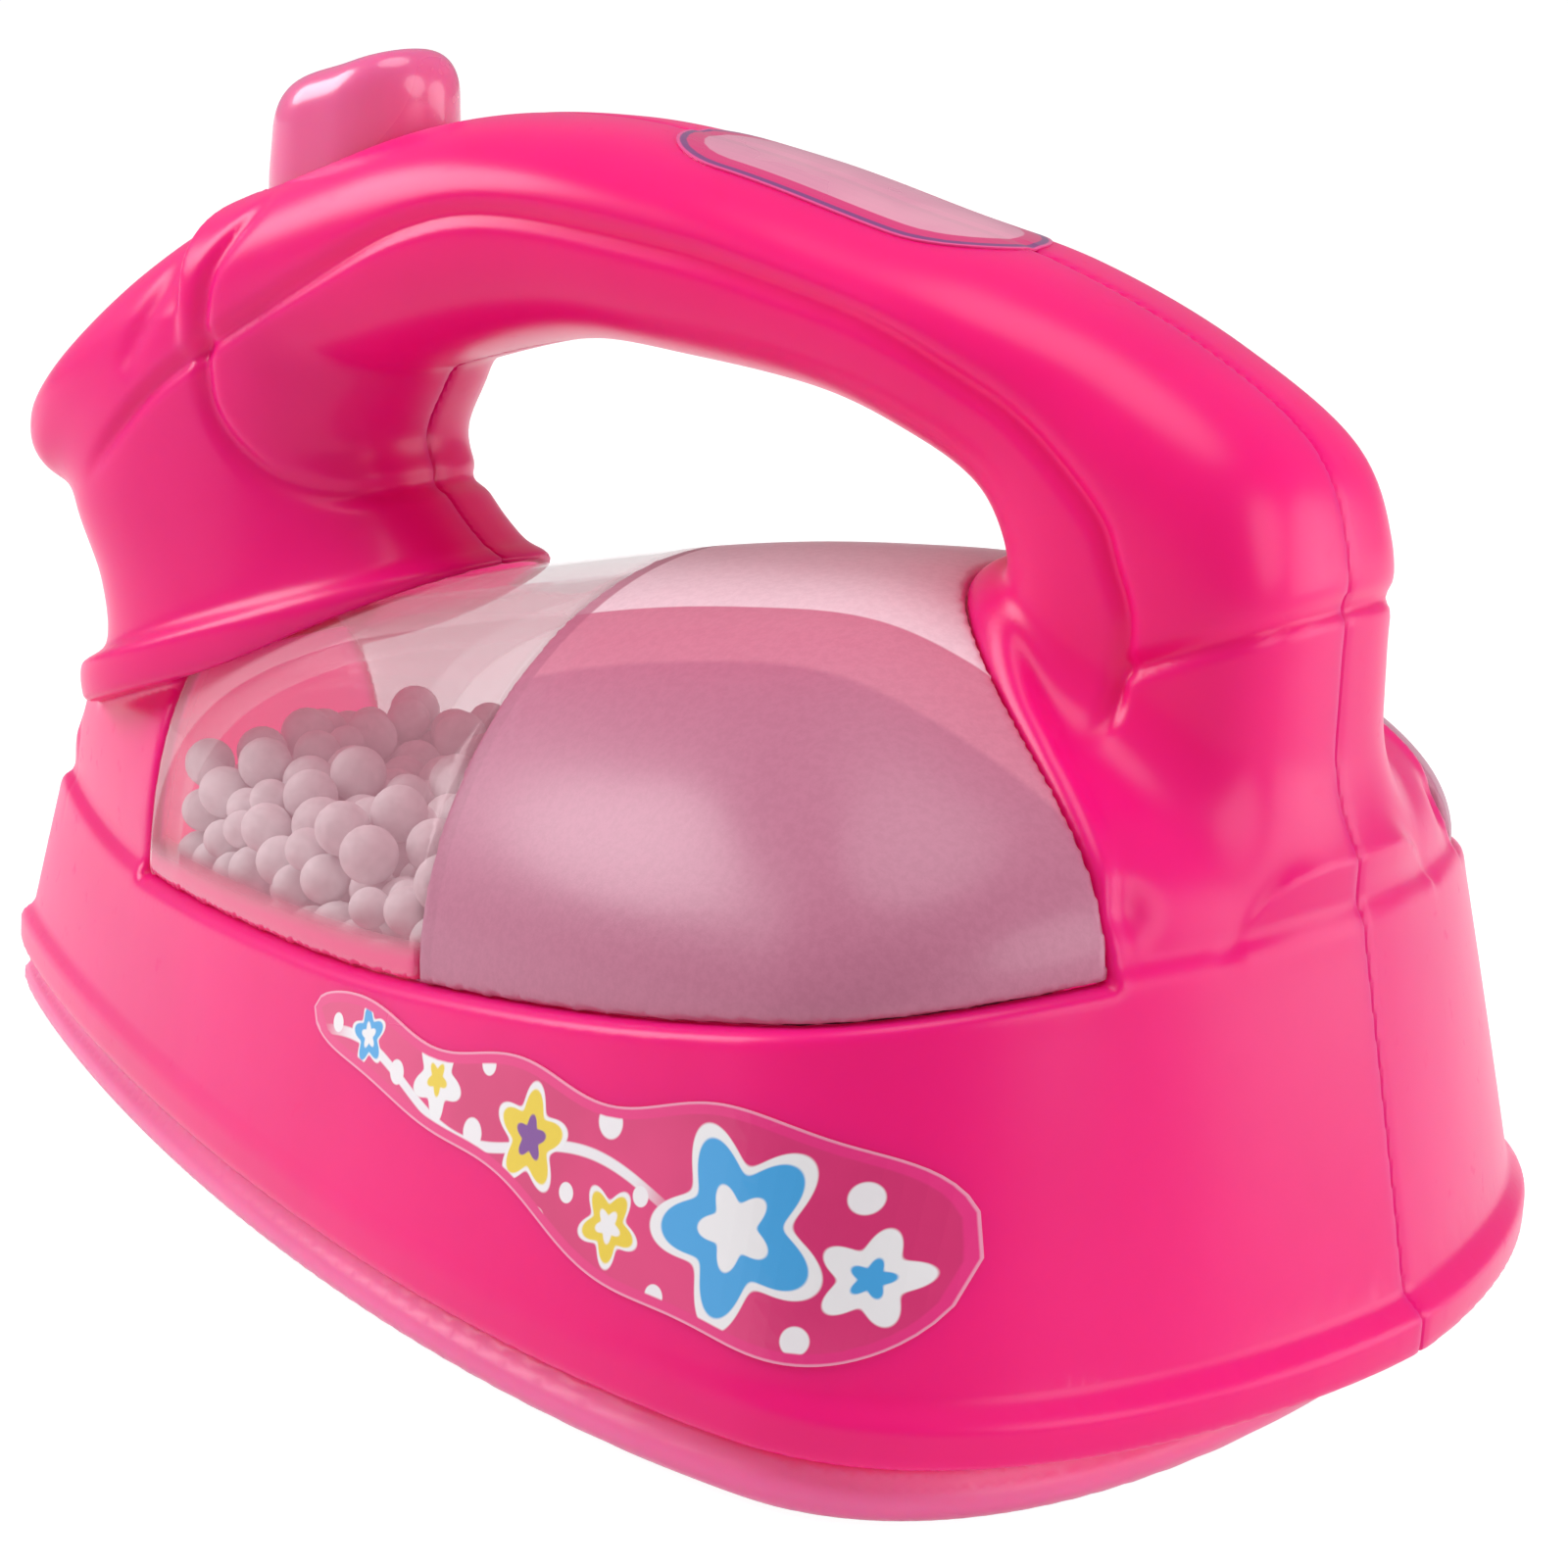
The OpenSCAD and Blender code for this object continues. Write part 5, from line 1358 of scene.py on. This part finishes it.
class IRON_OT_insides(bpy.types.Operator):
    """Finish the pieces that are carried over from the solids"""

    bl_idname = "iron.insides"
    bl_label = "Inner pieces"

    def execute(self, context):
        props = context.scene.iron_case
        pink = moulded("pink_inside", tuple(props.pink), 0.32)
        steel = plain_metal("bright_steel", STEEL)
        black = matt("black_plastic", (0.02, 0.02, 0.023))
        green = matt("board_green", (0.03, 0.17, 0.06), 0.4, 400.0)
        finishes = {
            "bead_tray": pink, "bead_paddle": pink, "door_screw": steel, "contact_springs": steel,
            "contact_plates": steel, "motor_can": steel, "motor_shaft": steel,
            "housing_screws": steel, "sole_screws": steel, "switch_plunger": black, "switch_body": black,
            "switch_board": green, "lamp_board": green,
            "battery_door": moulded("sole_pink_door", tuple(props.sole), 0.32),
            "battery_cells": matt("cell_wrap", (0.06, 0.16, 0.4), 0.35),
            "motor_end_cap": matt("white_plastic", (0.72, 0.72, 0.68)),
            "lamp": matt("lamp_lens", (0.86, 0.82, 0.72), 0.15),
            "red_wire": matt("red_insulation", (0.6, 0.02, 0.02), 0.45),
            "black_wire": matt("black_insulation", (0.015, 0.015, 0.015), 0.45),
            "motor_wire": matt("yellow_insulation", (0.68, 0.5, 0.06), 0.45),
        }
        for name, finish in finishes.items():
            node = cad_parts[name]
            node.data.materials.clear()
            node.data.materials.append(finish)
        return {"FINISHED"}


def camera_axes(props):
    """The camera's right, up and back."""
    a, e, r = props.azimuth, props.elevation, props.roll
    right = Vector((math.cos(a), math.sin(a), 0))
    back = Vector((math.sin(a) * math.cos(e), -math.cos(a) * math.cos(e), math.sin(e)))
    up = back.cross(right)
    return math.cos(r) * right + math.sin(r) * up, -math.sin(r) * right + math.cos(r) * up, back


# Soft lamps: place, target, size, power
LAMPS = {
    "key_left": ((-0.68, -0.3, 0.5), (0, 0, 0.04), 0.5, 5.0),
    "fill_right": ((0.78, 0.02, 0.36), (0, 0, 0.04), 0.5, 2.1),
    "back_right": ((0.5, 0.42, 0.12), (0, 0, 0.05), 0.4, 1.1),
    "top": ((0.05, -0.04, 0.9), (0, 0, 0.04), 0.6, 3.2),
}
TARGET = (0.013222, 0.00051, 0.03696)
FLOOR_RADIUS = 9
FLOOR_GLOW = 1.27
FLOOR_GLOW_SHARE = 0.75
SKY = 0.34


def soft_lamp(name, place, target, size, power):
    lamp = bpy.data.lights.new(name, "AREA")
    lamp.shape = "DISK"
    lamp.size = size
    lamp.energy = power
    obj = bpy.data.objects.new(name, lamp)
    bpy.context.scene.collection.objects.link(obj)
    way = Vector(target) - Vector(place)
    obj.matrix_world = Matrix.Translation(place) @ way.to_track_quat("-Z", "Y").to_matrix().to_4x4()


class IRON_OT_stage(bpy.types.Operator):
    """Set the camera, the lights and the pale floor"""

    bl_idname = "iron.stage"
    bl_label = "Stage"

    def execute(self, context):
        scene = context.scene
        props = scene.iron_stage
        right, up, back = camera_axes(props)
        camera = bpy.data.cameras.new("camera")
        camera.lens = props.lens
        camera.sensor_width = 36
        camera.clip_start = 0.01
        viewer = bpy.data.objects.new("camera", camera)
        scene.collection.objects.link(viewer)
        turn = Matrix((right, up, back)).transposed().to_4x4()
        viewer.matrix_world = Matrix.Translation(Vector(TARGET) + back * props.distance) @ turn
        scene.camera = viewer

        bm = bmesh.new()
        level = Matrix.Translation((0, 0, FLOOR_Z * MM))
        bmesh.ops.create_circle(bm, cap_ends=True, segments=96, radius=FLOOR_RADIUS, matrix=level)
        mesh = bpy.data.meshes.new("floor")
        bm.to_mesh(mesh)
        bm.free()
        floor = bpy.data.objects.new("floor", mesh)
        scene.collection.objects.link(floor)
        material, f = new_finish("pale_floor")
        seen = f.ray("Is Camera Ray") + f.ray("Is Glossy Ray") + f.ray("Is Transmission Ray")
        speckle = f.noise(40.0, 2.0, 0.5)
        tone = f.mix(speckle.fade(0.3, 0.7), (0.84, 0.84, 0.84, 1), (0.86, 0.86, 0.86, 1))
        dull = f.node("ShaderNodeBsdfDiffuse", {}, {"Color": tone})
        white = f.node("ShaderNodeEmission", {}, {"Color": (1, 1, 1, 1), "Strength": FLOOR_GLOW})
        glow = seen.math("MINIMUM", 1.0) * FLOOR_GLOW_SHARE
        both = f.node("ShaderNodeMixShader", {}, {0: glow, 1: dull, 2: white})
        f.node("ShaderNodeOutputMaterial", {}, {"Surface": both})
        mesh.materials.append(material)

        world = bpy.data.worlds.new("studio")
        world.use_nodes = True
        scene.world = world
        w = Finish(world.node_tree)
        strength = SKY + w.ray("Is Camera Ray") * (1 - SKY)
        sky = w.node("ShaderNodeBackground", {}, {"Color": (1, 1, 1, 1), "Strength": strength})
        w.node("ShaderNodeOutputWorld", {}, {"Surface": sky})

        for name, settings in LAMPS.items():
            soft_lamp(name, *settings)
        scene.view_settings.view_transform = "Standard"
        return {"FINISHED"}


class IRON_PT_panel(bpy.types.Panel):
    """Lists the pieces of the iron"""

    bl_idname = "IRON_PT_panel"
    bl_label = "Toy iron"
    bl_space_type = "VIEW_3D"
    bl_region_type = "UI"
    bl_category = "Iron"

    def draw(self, context):
        for group in (context.scene.iron_case, context.scene.iron_window, context.scene.iron_stage):
            for key in group.__annotations__:
                self.layout.prop(group, key)
        for operator in OPERATORS:
            self.layout.operator(operator.bl_idname)


GROUPS = {"iron_case": IronCase, "iron_window": IronWindow, "iron_stage": IronStage}
OPERATORS = (IRON_OT_case, IRON_OT_panes, IRON_OT_button, IRON_OT_sole, IRON_OT_beads, IRON_OT_films,
             IRON_OT_insides, IRON_OT_stage)


def register():
    for name, group in GROUPS.items():
        bpy.utils.register_class(group)
        setattr(bpy.types.Scene, name, bpy.props.PointerProperty(type=group))
    for made in (*OPERATORS, IRON_PT_panel):
        bpy.utils.register_class(made)


def unregister():
    for made in (IRON_PT_panel, *reversed(OPERATORS)):
        bpy.utils.unregister_class(made)
    for name, group in GROUPS.items():
        delattr(bpy.types.Scene, name)
        bpy.utils.unregister_class(group)


def main():
    register()
    bpy.ops.iron.stage()
    bpy.ops.iron.case()
    bpy.ops.iron.panes()
    bpy.ops.iron.button()
    bpy.ops.iron.sole()
    bpy.ops.iron.beads()
    bpy.ops.iron.films()
    bpy.ops.iron.insides()


if __name__ == "__main__":
    main()
